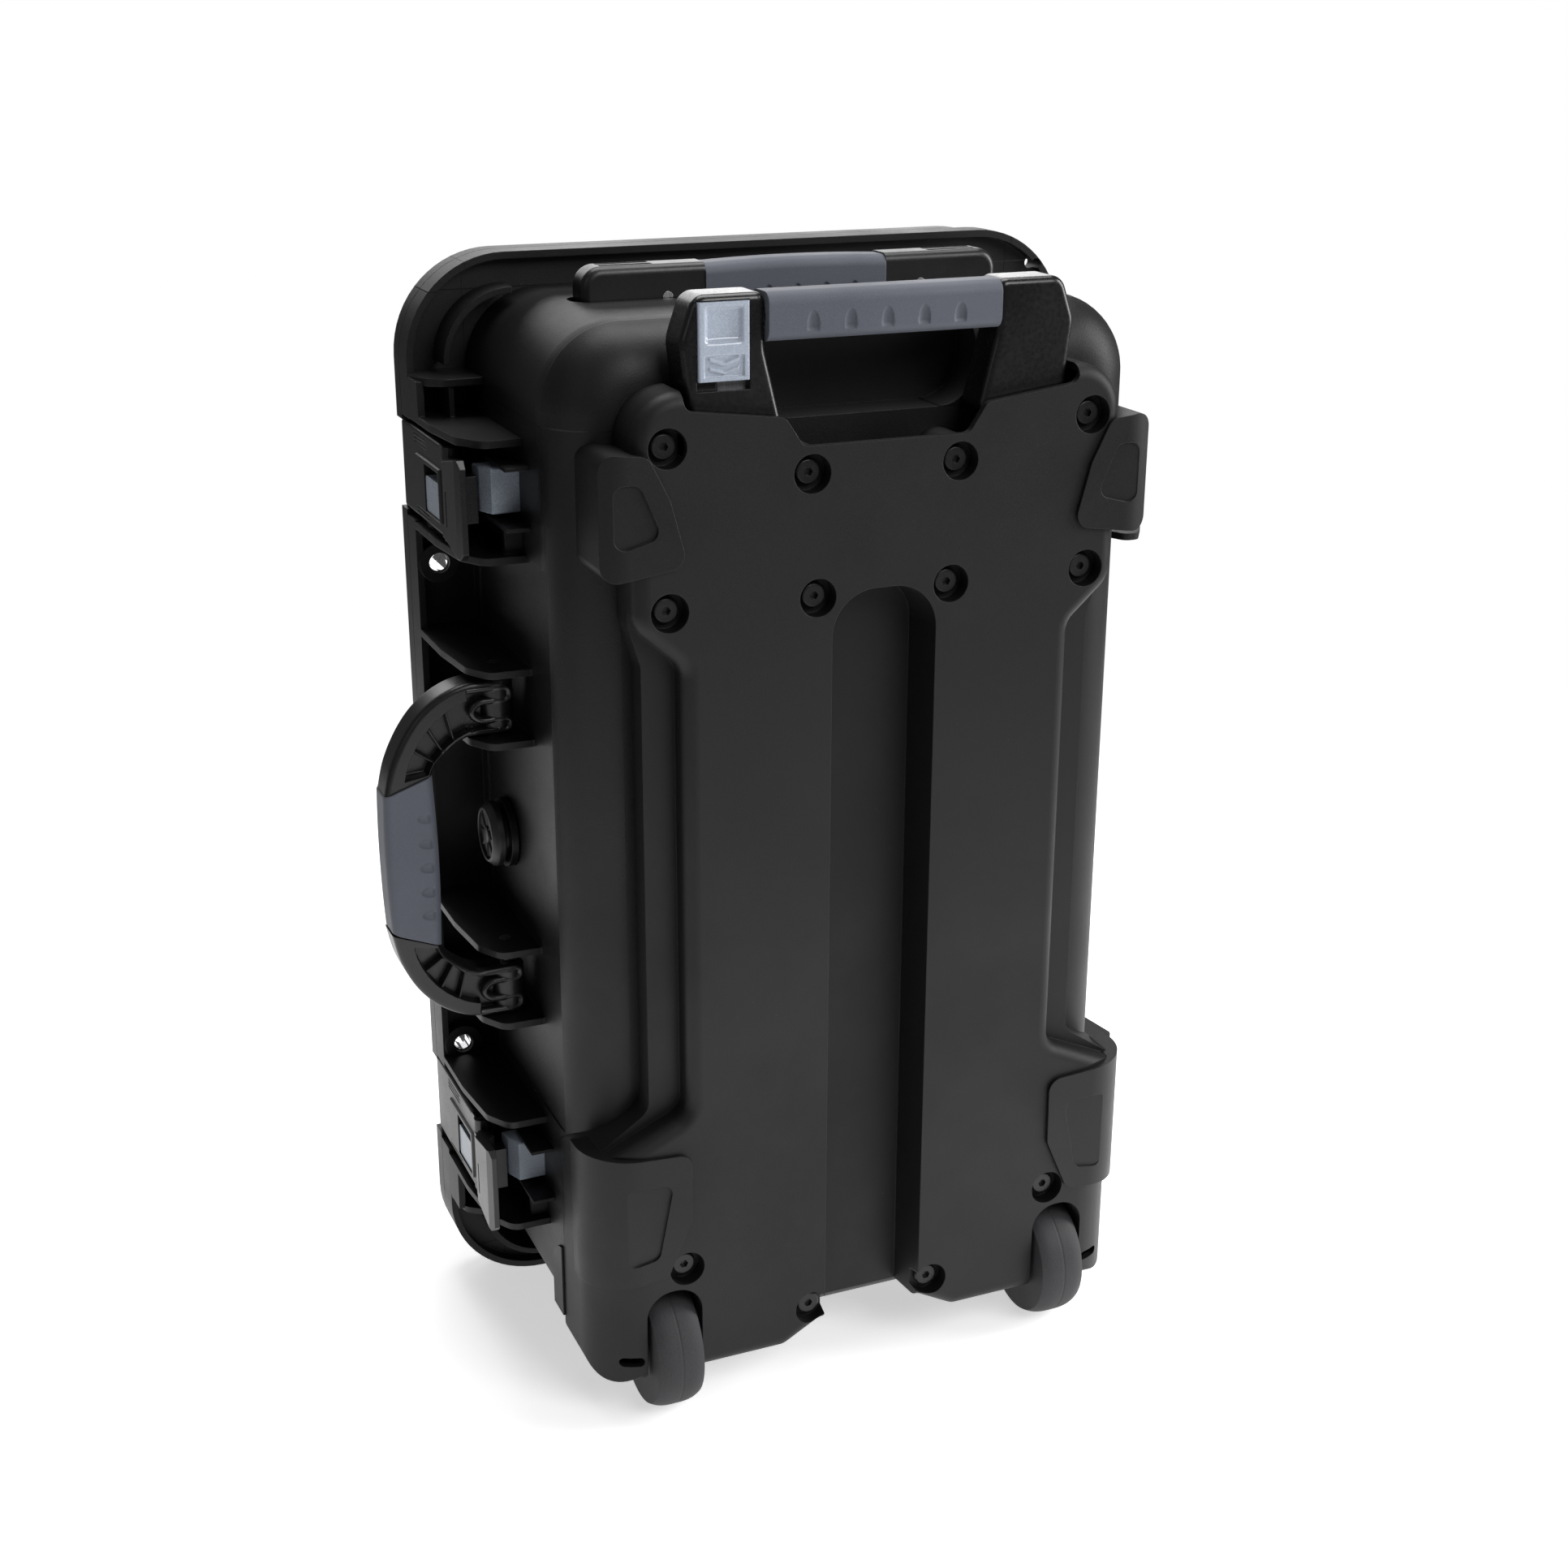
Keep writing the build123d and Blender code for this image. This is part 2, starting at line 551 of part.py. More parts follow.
def cover_outline(waist_x, inset=0.0):
    """Trolley cover seen from the back; waist_x is its half width between the end zones."""
    top, half, low, foot = COVER_TOP - inset, COVER_HALF - inset, COVER_BOTTOM + inset, SIDE_X - inset
    waist = waist_x - inset
    right = [
        (half, top), (half, 412.0), (waist, 392.0), (waist, 168.0), (foot, 146.0), (foot, low), (48.0, low),
        (28.0, low + 11.0),
    ]
    left = [(-x, z) for x, z in reversed(right)]
    radii = [22.0 - inset, 14.0, 10.0, 10.0, 12.0, 8.0, 8.0, 8.0]
    with BuildLine() as border:
        FilletPolyline(*right, *left, radius=radii + radii[::-1], close=True)
    make_face(border.edges())


MOUTH = LEG_OUTER_X + 0.6
CHANNEL_HALF = 24.0
CHANNEL_TOP = 418.0
CHANNEL_CORNER = 19.0
CHANNEL_DRAFT = 6.0
CHANNEL_FLOOR_Y = TUB_BACK_Y - 3.0


def channel(half, top, y_low, mode):
    """Long recess down the middle of the cover with a round top."""
    start_y = CHANNEL_FLOOR_Y if mode is Mode.SUBTRACT else TUB_BACK_Y
    with BuildSketch(at_y(start_y)) as profile:
        with BuildLine():
            FilletPolyline(
                (half, COVER_BOTTOM - 9), (half, top), (-half, top), (-half, COVER_BOTTOM - 9), radius=CHANNEL_CORNER
            )
            Line((-half, COVER_BOTTOM - 9), (half, COVER_BOTTOM - 9))
        make_face()
    extrude(profile.sketch, amount=start_y - y_low, taper=-CHANNEL_DRAFT, mode=mode)


def back_envelope(inset):
    """Upright block with rounded back corners, set in from the case's back and sides."""
    side_x, face_y = SIDE_X - inset, COVER_FACE_Y + inset
    with BuildSketch(at_z(0)) as profile:
        with BuildLine():
            FilletPolyline(
                (-side_x, 20), (-side_x, face_y), (side_x, face_y), (side_x, 20), radius=TUB_EDGE - inset
            )
            Line((side_x, 20), (-side_x, 20))
        make_face()
    extrude(profile.sketch, amount=CASE_HEIGHT)


with BuildPart() as envelope:
    back_envelope(0.0)

with BuildPart() as inner_envelope:
    back_envelope(COVER_WALL)

with BuildPart() as cover_core:
    with BuildSketch(at_y(COVER_FRONT_Y)):
        cover_outline(LEDGE_X)
    extrude(amount=COVER_FRONT_Y - COVER_FACE_Y - LEDGE_STEP)
    with BuildSketch(at_y(COVER_FRONT_Y)):
        cover_outline(FIELD_X)
    extrude(amount=COVER_FRONT_Y - COVER_FACE_Y)
    fillet(cover_core.faces().sort_by(Axis.Y)[0].outer_wire().edges(), COVER_EDGE)
    add(envelope.part, mode=Mode.INTERSECT)
    channel(CHANNEL_HALF, CHANNEL_TOP, COVER_FACE_Y - 1, Mode.SUBTRACT)



# the hollow behind the cover's wall
with BuildPart() as cover_hollow:
    with BuildSketch(at_y(COVER_FRONT_Y + 1)):
        cover_outline(FIELD_X, COVER_WALL)
    extrude(amount=COVER_FRONT_Y + 1 - COVER_FACE_Y - COVER_WALL)
    add(inner_envelope.part, mode=Mode.INTERSECT)

with BuildPart() as trolley_cover:
    add(cover_core.part)
    add(cover_hollow.part, mode=Mode.SUBTRACT)
    # wheel boxes, screw bosses and channel walls
    for side in (-1, 1):
        box_x = sorted((side * (WELL_LOW_X - 2.5), side * (WELL_HIGH_X + 2.5)))
        block(*box_x, COVER_FACE_Y + 2, TUB_BACK_Y, COVER_BOTTOM + 2, ARCH_TOP + 2.5)
        for x, z in SCREW_PLACES:
            cylinder_y(side * x, z, SCREW_WELL_R + 2.2, TUB_BACK_Y, COVER_FACE_Y + 2)
    channel(CHANNEL_HALF + 2.5, CHANNEL_TOP + 2.5, COVER_FACE_Y + 2, Mode.ADD)
    add(cover_core.part, mode=Mode.INTERSECT)
    # wheel arches and axle holes
    for side in (-1, 1):
        wheel_arch(
            *sorted((side * WELL_LOW_X, side * WELL_HIGH_X)), ARCH_TOP, WELL_INNER_Y, COVER_FACE_Y - 1,
            mode=Mode.SUBTRACT,
        )
        span = sorted((side * (WELL_LOW_X - 5), side * (WELL_HIGH_X + 10)))
        cylinder_x(WHEEL_Y, WHEEL_R, AXLE_R, *span, Mode.SUBTRACT)
        # small drain slot at each lower corner
        with BuildSketch(at_y(COVER_FACE_Y + 20)):
            with Locations((side * 130.0, 36.0)):
                SlotOverall(12.0, 5.0)
        extrude(amount=40, mode=Mode.SUBTRACT)
        # screw wells and holes
        for x, z in SCREW_PLACES:
            well_floor = COVER_FACE_Y + SCREW_SINK + SCREW_HEAD
            cylinder_y(side * x, z, SCREW_WELL_R, well_floor, COVER_FACE_Y - 1, Mode.SUBTRACT)
            cylinder_y(side * x, z, SCREW_SHANK_R + 0.3, TUB_BACK_Y + 1, COVER_FACE_Y, Mode.SUBTRACT)
    # open mouth for the pull handle's legs, and the dipped upper edge in front of them
    with BuildSketch(at_y(COVER_FRONT_Y)):
        Polygon((-MOUTH, 460), (MOUTH, 460), (MOUTH, 530), (-MOUTH, 530), align=None)
        with Locations((36.9, 476.0), (-36.9, 476.0)):
            Circle(SCREW_WELL_R + 2.2, mode=Mode.SUBTRACT)
    extrude(amount=COVER_FRONT_Y - COVER_FACE_Y - COVER_WALL, mode=Mode.SUBTRACT)
    with BuildSketch(at_y(COVER_FRONT_Y)):
        with BuildLine():
            FilletPolyline(
                (MOUTH, 530.0), (MOUTH, 508.0), (50.0, 502.0), (41.0, 488.5), (-41.0, 488.5),
                (-50.0, 502.0), (-MOUTH, 508.0), (-MOUTH, 530.0), radius=5.0,
            )
            Line((-MOUTH, 530.0), (MOUTH, 530.0))
        make_face()
    extrude(amount=120, mode=Mode.SUBTRACT)
    add(tub_outer.part, mode=Mode.SUBTRACT)
finish(trolley_cover, "trolley_cover")

with BuildPart() as cover_screws:
    for x, z in SCREW_PLACES:
        for side in (-1, 1):
            head_y = COVER_FACE_Y + SCREW_SINK
            cylinder_y(side * x, z, SCREW_HEAD_R, head_y + SCREW_HEAD, head_y)
            cylinder_y(side * x, z, SCREW_SHANK_R, TUB_BACK_Y + WALL + SCREW_BOSS - 3, head_y)
    fillet(cover_screws.edges().group_by(Axis.Y)[0], 1.2)
    with BuildSketch(at_y(COVER_FACE_Y + SCREW_SINK + 2.0)):
        for x, z in SCREW_PLACES:
            with Locations((x, z), (-x, z)):
                RegularPolygon(2.2, 6)
    extrude(amount=6, mode=Mode.SUBTRACT)
finish(cover_screws, "cover_screws")

# ---- corner bumpers ------------------------------------------------------------------------------------
BUMPER_PROUD = 2.5
UPPER_BUMPER = ((137, 492), (115, 490), (105, 470), (97, 440), (137, 434))
LOWER_BUMPER = ((160, 152), (98.5, 148), (99, 112), (112, 82), (160, 78))


def bumper(name, points, side, front_y):
    """Pad on one back corner of the case, with a sunken middle panel."""
    with BuildPart() as pad:
        with BuildSketch(at_z(0)):
            with BuildLine():
                FilletPolyline(
                    (0, front_y), (-SIDE_X - BUMPER_PROUD, front_y),
                    (-SIDE_X - BUMPER_PROUD, COVER_FACE_Y - 2.0), (0, COVER_FACE_Y - 2.0),
                    radius=[1.0, TUB_EDGE - 2.0],
                )
                Line((0, COVER_FACE_Y - 2.0), (0, front_y))
            make_face()
        extrude(amount=CASE_HEIGHT)
        with BuildSketch(at_y(0)):
            with BuildLine():
                FilletPolyline(*[(-x, z) for x, z in points], radius=7.0, close=True)
            make_face()
        extrude(amount=150, mode=Mode.INTERSECT)
        add(cover_core.part, mode=Mode.SUBTRACT)
        add(tub_outer.part, mode=Mode.SUBTRACT)
        low, high = points[-1][1], points[0][1]
        with BuildSketch(at_y(COVER_FACE_Y - 0.8)):
            with BuildLine():
                if high > ZC:
                    FilletPolyline((-131, high - 14), (-119, high - 14), (-109, low + 20), (-131, low + 14),
                                   radius=5.0, close=True)
                else:
                    FilletPolyline((-133, high - 18), (-108, high - 18), (-116, low + 16), (-133, low + 13),
                                   radius=5.0, close=True)
            make_face()
        extrude(amount=5, mode=Mode.SUBTRACT)
        if side > 0:
            mirror(about=Plane.YZ, mode=Mode.REPLACE)
    finish(pad, name)


for side, hand in ((-1, "left"), (1, "right")):
    bumper(f"bumper_upper_{hand}", UPPER_BUMPER, side, -62.0)
    bumper(f"bumper_lower_{hand}", LOWER_BUMPER, side, -84.0)

# ---- wheels --------------------------------------------------------------------------------------------
HUB_R = 22.0


def wheel(hand, side):
    """Tyre, hub, two bearings and the axle of one wheel."""
    x = side * WHEEL_X
    low, high = x - WHEEL_WIDTH / 2, x + WHEEL_WIDTH / 2
    with BuildPart() as tyre:
        with BuildSketch(Plane.XZ.offset(-WHEEL_Y)):
            with BuildLine():
                Polyline((high, WHEEL_R + HUB_R - 5), (high, WHEEL_R + HUB_R), (high, 2 * WHEEL_R - 9))
                ThreePointArc((high, 2 * WHEEL_R - 9), (x, 2 * WHEEL_R), (low, 2 * WHEEL_R - 9))
                Polyline((low, 2 * WHEEL_R - 9), (low, WHEEL_R + HUB_R - 5), (high, WHEEL_R + HUB_R - 5))
            make_face()
        revolve(axis=Axis((x, WHEEL_Y, WHEEL_R), (1, 0, 0)))
    finish(tyre, f"wheel_tyre_{hand}")
    with BuildPart() as hub:
        cylinder_x(WHEEL_Y, WHEEL_R, HUB_R - 5, low, high)
        for face_low, face_high in ((low - 1, low + 3.5), (high - 3.5, high + 1)):
            cylinder_x(WHEEL_Y, WHEEL_R, HUB_R - 9, face_low, face_high, Mode.SUBTRACT)
            cylinder_x(WHEEL_Y, WHEEL_R, BEARING_R + 1.0, max(face_low, low), min(face_high, high))
        with BuildSketch(at_x(low - 1)):
            with Locations((WHEEL_Y, WHEEL_R)):
                with PolarLocations(14.2, 6, 30):
                    Circle(1.2)
        extrude(amount=WHEEL_WIDTH + 2, mode=Mode.SUBTRACT)
        for face_low, face_high in ((low - 1, low + BEARING_WIDTH), (high - BEARING_WIDTH, high + 1)):
            cylinder_x(WHEEL_Y, WHEEL_R, BEARING_R, face_low, face_high, Mode.SUBTRACT)
        cylinder_x(WHEEL_Y, WHEEL_R, AXLE_R + 1.5, low, high, Mode.SUBTRACT)
    finish(hub, f"wheel_hub_{hand}")
    with BuildPart() as bearings:
        for face_low in (low, high - BEARING_WIDTH):
            cylinder_x(WHEEL_Y, WHEEL_R, BEARING_R, face_low, face_low + BEARING_WIDTH)
        cylinder_x(WHEEL_Y, WHEEL_R, AXLE_R + FIT, low - 1, high + 1, Mode.SUBTRACT)
        for face in (low, high):
            with BuildSketch(at_x(face - 0.8)):
                with Locations((WHEEL_Y, WHEEL_R)):
                    Circle(9.0)
                    Circle(6.0, mode=Mode.SUBTRACT)
            extrude(amount=1.6, mode=Mode.SUBTRACT)
    finish(bearings, f"wheel_bearings_{hand}")
    with BuildPart() as axle:
        span = sorted((side * (WELL_LOW_X - 4.5), side * (WELL_HIGH_X + 9.5)))
        cylinder_x(WHEEL_Y, WHEEL_R, AXLE_R, *span)
    finish(axle, f"wheel_axle_{hand}")


for side, hand in ((-1, "left"), (1, "right")):
    wheel(hand, side)

with BuildPart() as wheel_covers:
    for plane_x in (-SIDE_X - 1.2, SIDE_X):
        with BuildSketch(at_x(plane_x)):
            with BuildLine():
                Line((-44.0, 36.0), (-44.0, 58.0))
                ThreePointArc((-44.0, 58.0), (-50.0, 72.0), (-59.0, 76.0))
                Polyline((-59.0, 76.0), (-59.0, 36.0), (-44.0, 36.0))
            make_face()
        extrude(amount=1.2)
finish(wheel_covers, "wheel_access_covers")

# ---- side handle ---------------------------------------------------------------------------------------
OUT_X = SIDE_AXIS_X - SIDE_REACH
IN_X = OUT_X + SIDE_GRIP_WIDTH - 2.0
ARM_TOP = FIN_Z[5] - FIN / 2 - GAP
ARM_LOW = FIN_Z[4] + FIN / 2 + GAP
ARM_TOP_B = FIN_Z[3] - FIN / 2 - GAP
ARM_LOW_B = FIN_Z[2] + FIN / 2 + GAP
GRIP_TOP = SIDE_ZC - 4.5 + SIDE_GRIP_LENGTH / 2
GRIP_LOW = GRIP_TOP - SIDE_GRIP_LENGTH
CORE_OUT = OUT_X + 5.0
CORE_IN = IN_X - 5.0

with BuildPart() as side_handle_frame:
    with BuildSketch(at_y(SIDE_AXIS_Y + SIDE_THICKNESS / 2)):
        with BuildLine():
            FilletPolyline(
                (SIDE_AXIS_X, ARM_TOP), (SIDE_AXIS_X - 24, ARM_TOP), (OUT_X, GRIP_TOP + 6),
                (OUT_X, GRIP_LOW - 6), (SIDE_AXIS_X - 24, ARM_LOW_B), (SIDE_AXIS_X, ARM_LOW_B),
                radius=20.0,
            )
            Line((SIDE_AXIS_X, ARM_LOW_B), (SIDE_AXIS_X, ARM_TOP_B))
            FilletPolyline(
                (SIDE_AXIS_X, ARM_TOP_B), (SIDE_AXIS_X - 27, ARM_TOP_B), (IN_X, GRIP_LOW),
                (IN_X, GRIP_TOP), (SIDE_AXIS_X - 27, ARM_LOW), (SIDE_AXIS_X, ARM_LOW), radius=5.0,
            )
            Line((SIDE_AXIS_X, ARM_LOW), (SIDE_AXIS_X, ARM_TOP))
        make_face()
    extrude(amount=SIDE_THICKNESS)
    outside = side_handle_frame.edges().filter_by(Axis.Z).sort_by(Axis.X)[:2]
    fillet(outside, 4.0)
    for low, high in ((ARM_LOW, ARM_TOP), (ARM_LOW_B, ARM_TOP_B)):
        cylinder_z(SIDE_AXIS_X, SIDE_AXIS_Y, SIDE_THICKNESS / 2, low, high)
    # thinner core under the rubber grip
    block(OUT_X - 5, CORE_OUT, -60, 20, GRIP_LOW, GRIP_TOP, Mode.SUBTRACT)
    block(CORE_IN, IN_X + 8, -60, 20, GRIP_LOW, GRIP_TOP, Mode.SUBTRACT)
    for y_low, y_high in ((-60, SIDE_AXIS_Y - 5.5), (SIDE_AXIS_Y + 5.5, 20)):
        block(CORE_OUT - 1, CORE_IN + 1, y_low, y_high, GRIP_LOW, GRIP_TOP, Mode.SUBTRACT)
    # weight-saving pockets in the arms, seen from the back
    for sign, low, high, grip_end in ((1, ARM_LOW, ARM_TOP, GRIP_TOP), (-1, ARM_TOP_B, ARM_LOW_B, GRIP_LOW)):
        inner_top, outer_top = sorted((low, high), key=lambda z: -sign * z)[::-1]
        with BuildSketch(at_y(SIDE_AXIS_Y - SIDE_THICKNESS / 2 + 11)):
            with BuildLine():
                FilletPolyline(
                    (SIDE_AXIS_X - 25, inner_top + sign * 5), (SIDE_AXIS_X - 28, outer_top - sign * 6),
                    (OUT_X + 8, grip_end + sign * 14), (OUT_X + 8, grip_end + sign * 3),
                    (IN_X - 7, grip_end + sign * 3), radius=2.0, close=True,
                )
            make_face()
            for step in range(3):
                with Locations(Location((OUT_X + 14 + 7 * step, grip_end + sign * (8 + 7 * step)), 0.0)):
                    Rectangle(1.6, 40.0, rotation=sign * (35 - 12 * step), mode=Mode.SUBTRACT)
        extrude(amount=20, mode=Mode.SUBTRACT)
    cylinder_z(SIDE_AXIS_X, SIDE_AXIS_Y, SIDE_PIN_R + FIT, ARM_LOW_B - 5, ARM_TOP + 5, Mode.SUBTRACT)
finish(side_handle_frame, "side_handle_frame")

with BuildPart() as side_handle_grip:
    with BuildSketch(at_z(GRIP_LOW)):
        with Locations(((OUT_X - 1 + IN_X) / 2, SIDE_AXIS_Y)):
            RectangleRounded(SIDE_GRIP_WIDTH - 1.0, SIDE_THICKNESS + 3.0, 7.5)
        with Locations(((CORE_IN + CORE_OUT) / 2, SIDE_AXIS_Y)):
            Rectangle(CORE_IN - CORE_OUT, 11.0, mode=Mode.SUBTRACT)
    extrude(amount=SIDE_GRIP_LENGTH)
    for step in range(5):
        z = GRIP_LOW + 12 + 13 * step
        cylinder_y(IN_X + 1.5, z, 3.2, 20, -60, Mode.SUBTRACT)
finish(side_handle_grip, "side_handle_grip")

with BuildPart() as side_handle_pins:
    for low, high in ((FIN_Z[2], FIN_Z[3]), (FIN_Z[4], FIN_Z[5])):
        cylinder_z(SIDE_AXIS_X, SIDE_AXIS_Y, SIDE_PIN_R, low - FIN / 2, high + FIN / 2)
finish(side_handle_pins, "side_handle_pins")

# ---- top handle ----------------------------------------------------------------------------------------
TOP_LOW = CASE_HEIGHT - 2.0 - TOP_HEIGHT
POST_TOP = TOP_LOW + 14.0
POST_LOW = POCKET_FLOOR - SOCKET_DEPTH + 2.0

with BuildPart() as top_handle_frame:
    slab(
        TOP_LENGTH, TOP_HEIGHT, 10.0, TOP_Y + TOP_THICKNESS / 2, TOP_Y - TOP_THICKNESS / 2,
        z=TOP_LOW + TOP_HEIGHT / 2,
    )
    fillet(top_handle_frame.faces().filter_by(Axis.Y).edges(), 4.0)
    # waist under the rubber grip
    half = TOP_GRIP_LENGTH / 2
    with BuildSketch(at_x(-half)):
        with Locations((TOP_Y, TOP_LOW + TOP_HEIGHT / 2)):
            Rectangle(60, 60)
            Rectangle(TOP_THICKNESS - 7, TOP_HEIGHT - 9, mode=Mode.SUBTRACT)
    extrude(amount=TOP_GRIP_LENGTH, mode=Mode.SUBTRACT)
    for side in (-1, 1):
        # post seats, cross pin holes and the ribbed slots on top
        with BuildSketch(at_z(TOP_LOW - 1)):
            with Locations((side * TOP_POST_X, TOP_Y)):
                Rectangle(TOP_POST_WIDTH, TOP_POST_DEPTH)
        extrude(amount=POST_TOP - TOP_LOW + 1, mode=Mode.SUBTRACT)
        cylinder_y(side * TOP_POST_X, TOP_LOW + 9.0, TOP_PIN_R, 30, -30, Mode.SUBTRACT)
        slot_x = sorted((side * 72, side * 98))
        for slot_y in (TOP_Y - 5, TOP_Y + 1):
            block(*slot_x, slot_y, slot_y + 4, CASE_HEIGHT - 4, CASE_HEIGHT, Mode.SUBTRACT)
finish(top_handle_frame, "top_handle_frame")

with BuildPart() as top_handle_grip:
    with BuildSketch(at_x(-TOP_GRIP_LENGTH / 2)):
        with Locations((TOP_Y, TOP_LOW + TOP_HEIGHT / 2)):
            RectangleRounded(TOP_THICKNESS + 1.0, TOP_HEIGHT + 1.0, 7.0)
            Rectangle(TOP_THICKNESS - 7, TOP_HEIGHT - 9, mode=Mode.SUBTRACT)
    extrude(amount=TOP_GRIP_LENGTH)
finish(top_handle_grip, "top_handle_grip")

with BuildPart() as top_handle_posts:
    for side in (-1, 1):
        half_w, half_d = TOP_POST_WIDTH / 2, TOP_POST_DEPTH / 2
        block(
            side * TOP_POST_X - half_w, side * TOP_POST_X + half_w, TOP_Y - half_d, TOP_Y + half_d, POST_LOW,
            POST_TOP,
        )
        cylinder_y(side * TOP_POST_X, TOP_LOW + 9.0, TOP_PIN_R, 30, -30, Mode.SUBTRACT)
finish(top_handle_posts, "top_handle_posts")

with BuildPart() as top_handle_pins:
    for side in (-1, 1):
        half_pin = TOP_THICKNESS / 2 + 0.2
        cylinder_y(side * TOP_POST_X, TOP_LOW + 9.0, TOP_PIN_R, TOP_Y + half_pin, TOP_Y - half_pin)
finish(top_handle_pins, "top_handle_pins")

# ---- pull handle ---------------------------------------------------------------------------------------
MIDDLE = tuple(size - 2 * TUBE_WALL - 2 * TUBE_PLAY for size in TUBE_OUTER)
INNER = tuple(size - 2 * TUBE_WALL - 2 * TUBE_PLAY for size in MIDDLE)
MIDDLE_TOP = LEG_BOTTOM - GAP - 0.4 - BUSH_HEIGHT
OUTER_TOP = MIDDLE_TOP - 1.0 - BUSH_HEIGHT
MIDDLE_BOTTOM = TUBE_BOTTOM + 10.0
INNER_BOTTOM = MIDDLE_BOTTOM + 2.0
INNER_TOP = LEG_BOTTOM + 42.0


def tube_sketch(size, corner, bore=0.0):
    """Both tubes of one stage in plan; bore is the wall thickness, or 0 for a solid bar."""
    with Locations((TUBE_X, TUBE_Y), (-TUBE_X, TUBE_Y)):
        RectangleRounded(*size, corner)
        if bore:
            RectangleRounded(size[0] - 2 * bore, size[1] - 2 * bore, corner - bore, mode=Mode.SUBTRACT)


def tube_pair(name, size, corner, low, high):
    """Left and right tube of one stage."""
    with BuildPart() as tubes:
        with BuildSketch(at_z(low)):
            tube_sketch(size, corner, TUBE_WALL)
        extrude(amount=high - low)
    finish(tubes, name)


def bush_pair(name, outside, inside, corner, low):
    """Plastic collars on top of one stage that guide the next one."""
    with BuildPart() as bushes:
        with BuildSketch(at_z(low)):
            tube_sketch(outside, corner + 1.5)
            with Locations((TUBE_X, TUBE_Y), (-TUBE_X, TUBE_Y)):
                RectangleRounded(*(size + 2 * BUSH_PLAY for size in inside), corner, mode=Mode.SUBTRACT)
        extrude(amount=BUSH_HEIGHT)
    finish(bushes, name)


tube_pair("trolley_outer_tubes", TUBE_OUTER, 3.6, TUBE_BOTTOM, OUTER_TOP)
tube_pair("trolley_middle_tubes", MIDDLE, 2.6, MIDDLE_BOTTOM, MIDDLE_TOP)
tube_pair("trolley_inner_tubes", INNER, 1.8, INNER_BOTTOM, INNER_TOP)
bush_pair("outer_tube_bushes", (TUBE_OUTER[0] + 4, TUBE_OUTER[1] + 4), MIDDLE, 2.6, OUTER_TOP)
bush_pair("middle_tube_bushes", TUBE_OUTER, INNER, 1.8, MIDDLE_TOP)

with BuildPart() as tube_end_caps:
    with BuildSketch(at_z(COVER_BOTTOM + COVER_WALL)):
        tube_sketch((TUBE_OUTER[0] + 4, TUBE_OUTER[1] + 4), 3.0)
    extrude(amount=12.0)
    with BuildSketch(at_z(TUBE_BOTTOM)):
        tube_sketch(TUBE_OUTER, 3.6)
    extrude(amount=12.0, mode=Mode.SUBTRACT)
finish(tube_end_caps, "tube_end_caps")

BORE = tuple(size - 2 * TUBE_WALL for size in INNER)
with BuildPart() as inner_tube_plugs:
    with BuildSketch(at_z(INNER_BOTTOM)):
        tube_sketch(BORE, 0.6)
        with Locations((TUBE_X, TUBE_Y), (-TUBE_X, TUBE_Y)):
            Circle(ROD_R, mode=Mode.SUBTRACT)
    extrude(amount=14.0)
finish(inner_tube_plugs, "inner_tube_plugs")

with BuildPart() as pull_rods:
    for side in (-1, 1):
        cylinder_z(side * TUBE_X, TUBE_Y, ROD_R, INNER_BOTTOM, INNER_TOP + 4.0)
finish(pull_rods, "pull_rods")

LEG_TOP = CASE_HEIGHT - 3.0
GRIP_Z = LEG_TOP - GRIP_HEIGHT / 2
GRIP_Y = TUBE_Y - 2.5
BUTTON_LOW_X, BUTTON_HIGH_X = -89.0, -65.0
BUTTON_TOP, BUTTON_LOW = LEG_TOP - 3.0, LEG_TOP - 37.0
BUTTON_DEPTH = 5.0
LEG_FRONT_Y = TUBE_Y - LEG_DEPTH / 2

with BuildPart() as trolley_handle_frame:
    for side in (-1, 1):
        with BuildSketch(at_y(TUBE_Y + LEG_DEPTH / 2)):
            with BuildLine():
                FilletPolyline(
                    (side * 48, LEG_BOTTOM), (side * 92, LEG_BOTTOM), (side * LEG_OUTER_X, LEG_TOP - 20),
                    (side * (LEG_OUTER_X - 7), LEG_TOP), (side * GRIP_LENGTH / 2, LEG_TOP),
                    (side * GRIP_LENGTH / 2, GRIP_Z - 14), radius=[4.5, 4.5, 15.0, 8.0, 4.5, 20.0], close=True,
                )
            make_face()
        extrude(amount=LEG_DEPTH)
    fillet(trolley_handle_frame.edges().group_by(Axis.Y)[0], 3.5)
    # bar that carries the grip
    cylinder_x(GRIP_Y, GRIP_Z, 6.0, -GRIP_LENGTH / 2 - 4, GRIP_LENGTH / 2 + 4)
    # seats for the inner tubes and the pull rods
    with BuildSketch(at_z(LEG_BOTTOM - 1)):
        tube_sketch(INNER, 1.8)
    extrude(amount=INNER_TOP - LEG_BOTTOM + 1, mode=Mode.SUBTRACT)
    for side in (-1, 1):
        cylinder_z(side * TUBE_X, TUBE_Y, ROD_R, LEG_BOTTOM, INNER_TOP + 4.0, Mode.SUBTRACT)
    # button pocket
    block(
        BUTTON_LOW_X - GAP, BUTTON_HIGH_X + GAP, LEG_FRONT_Y - 1, LEG_FRONT_Y + BUTTON_DEPTH - 0.7,
        BUTTON_LOW - BUTTON_TRAVEL - GAP, BUTTON_TOP + GAP, Mode.SUBTRACT,
    )
finish(trolley_handle_frame, "trolley_handle_frame")

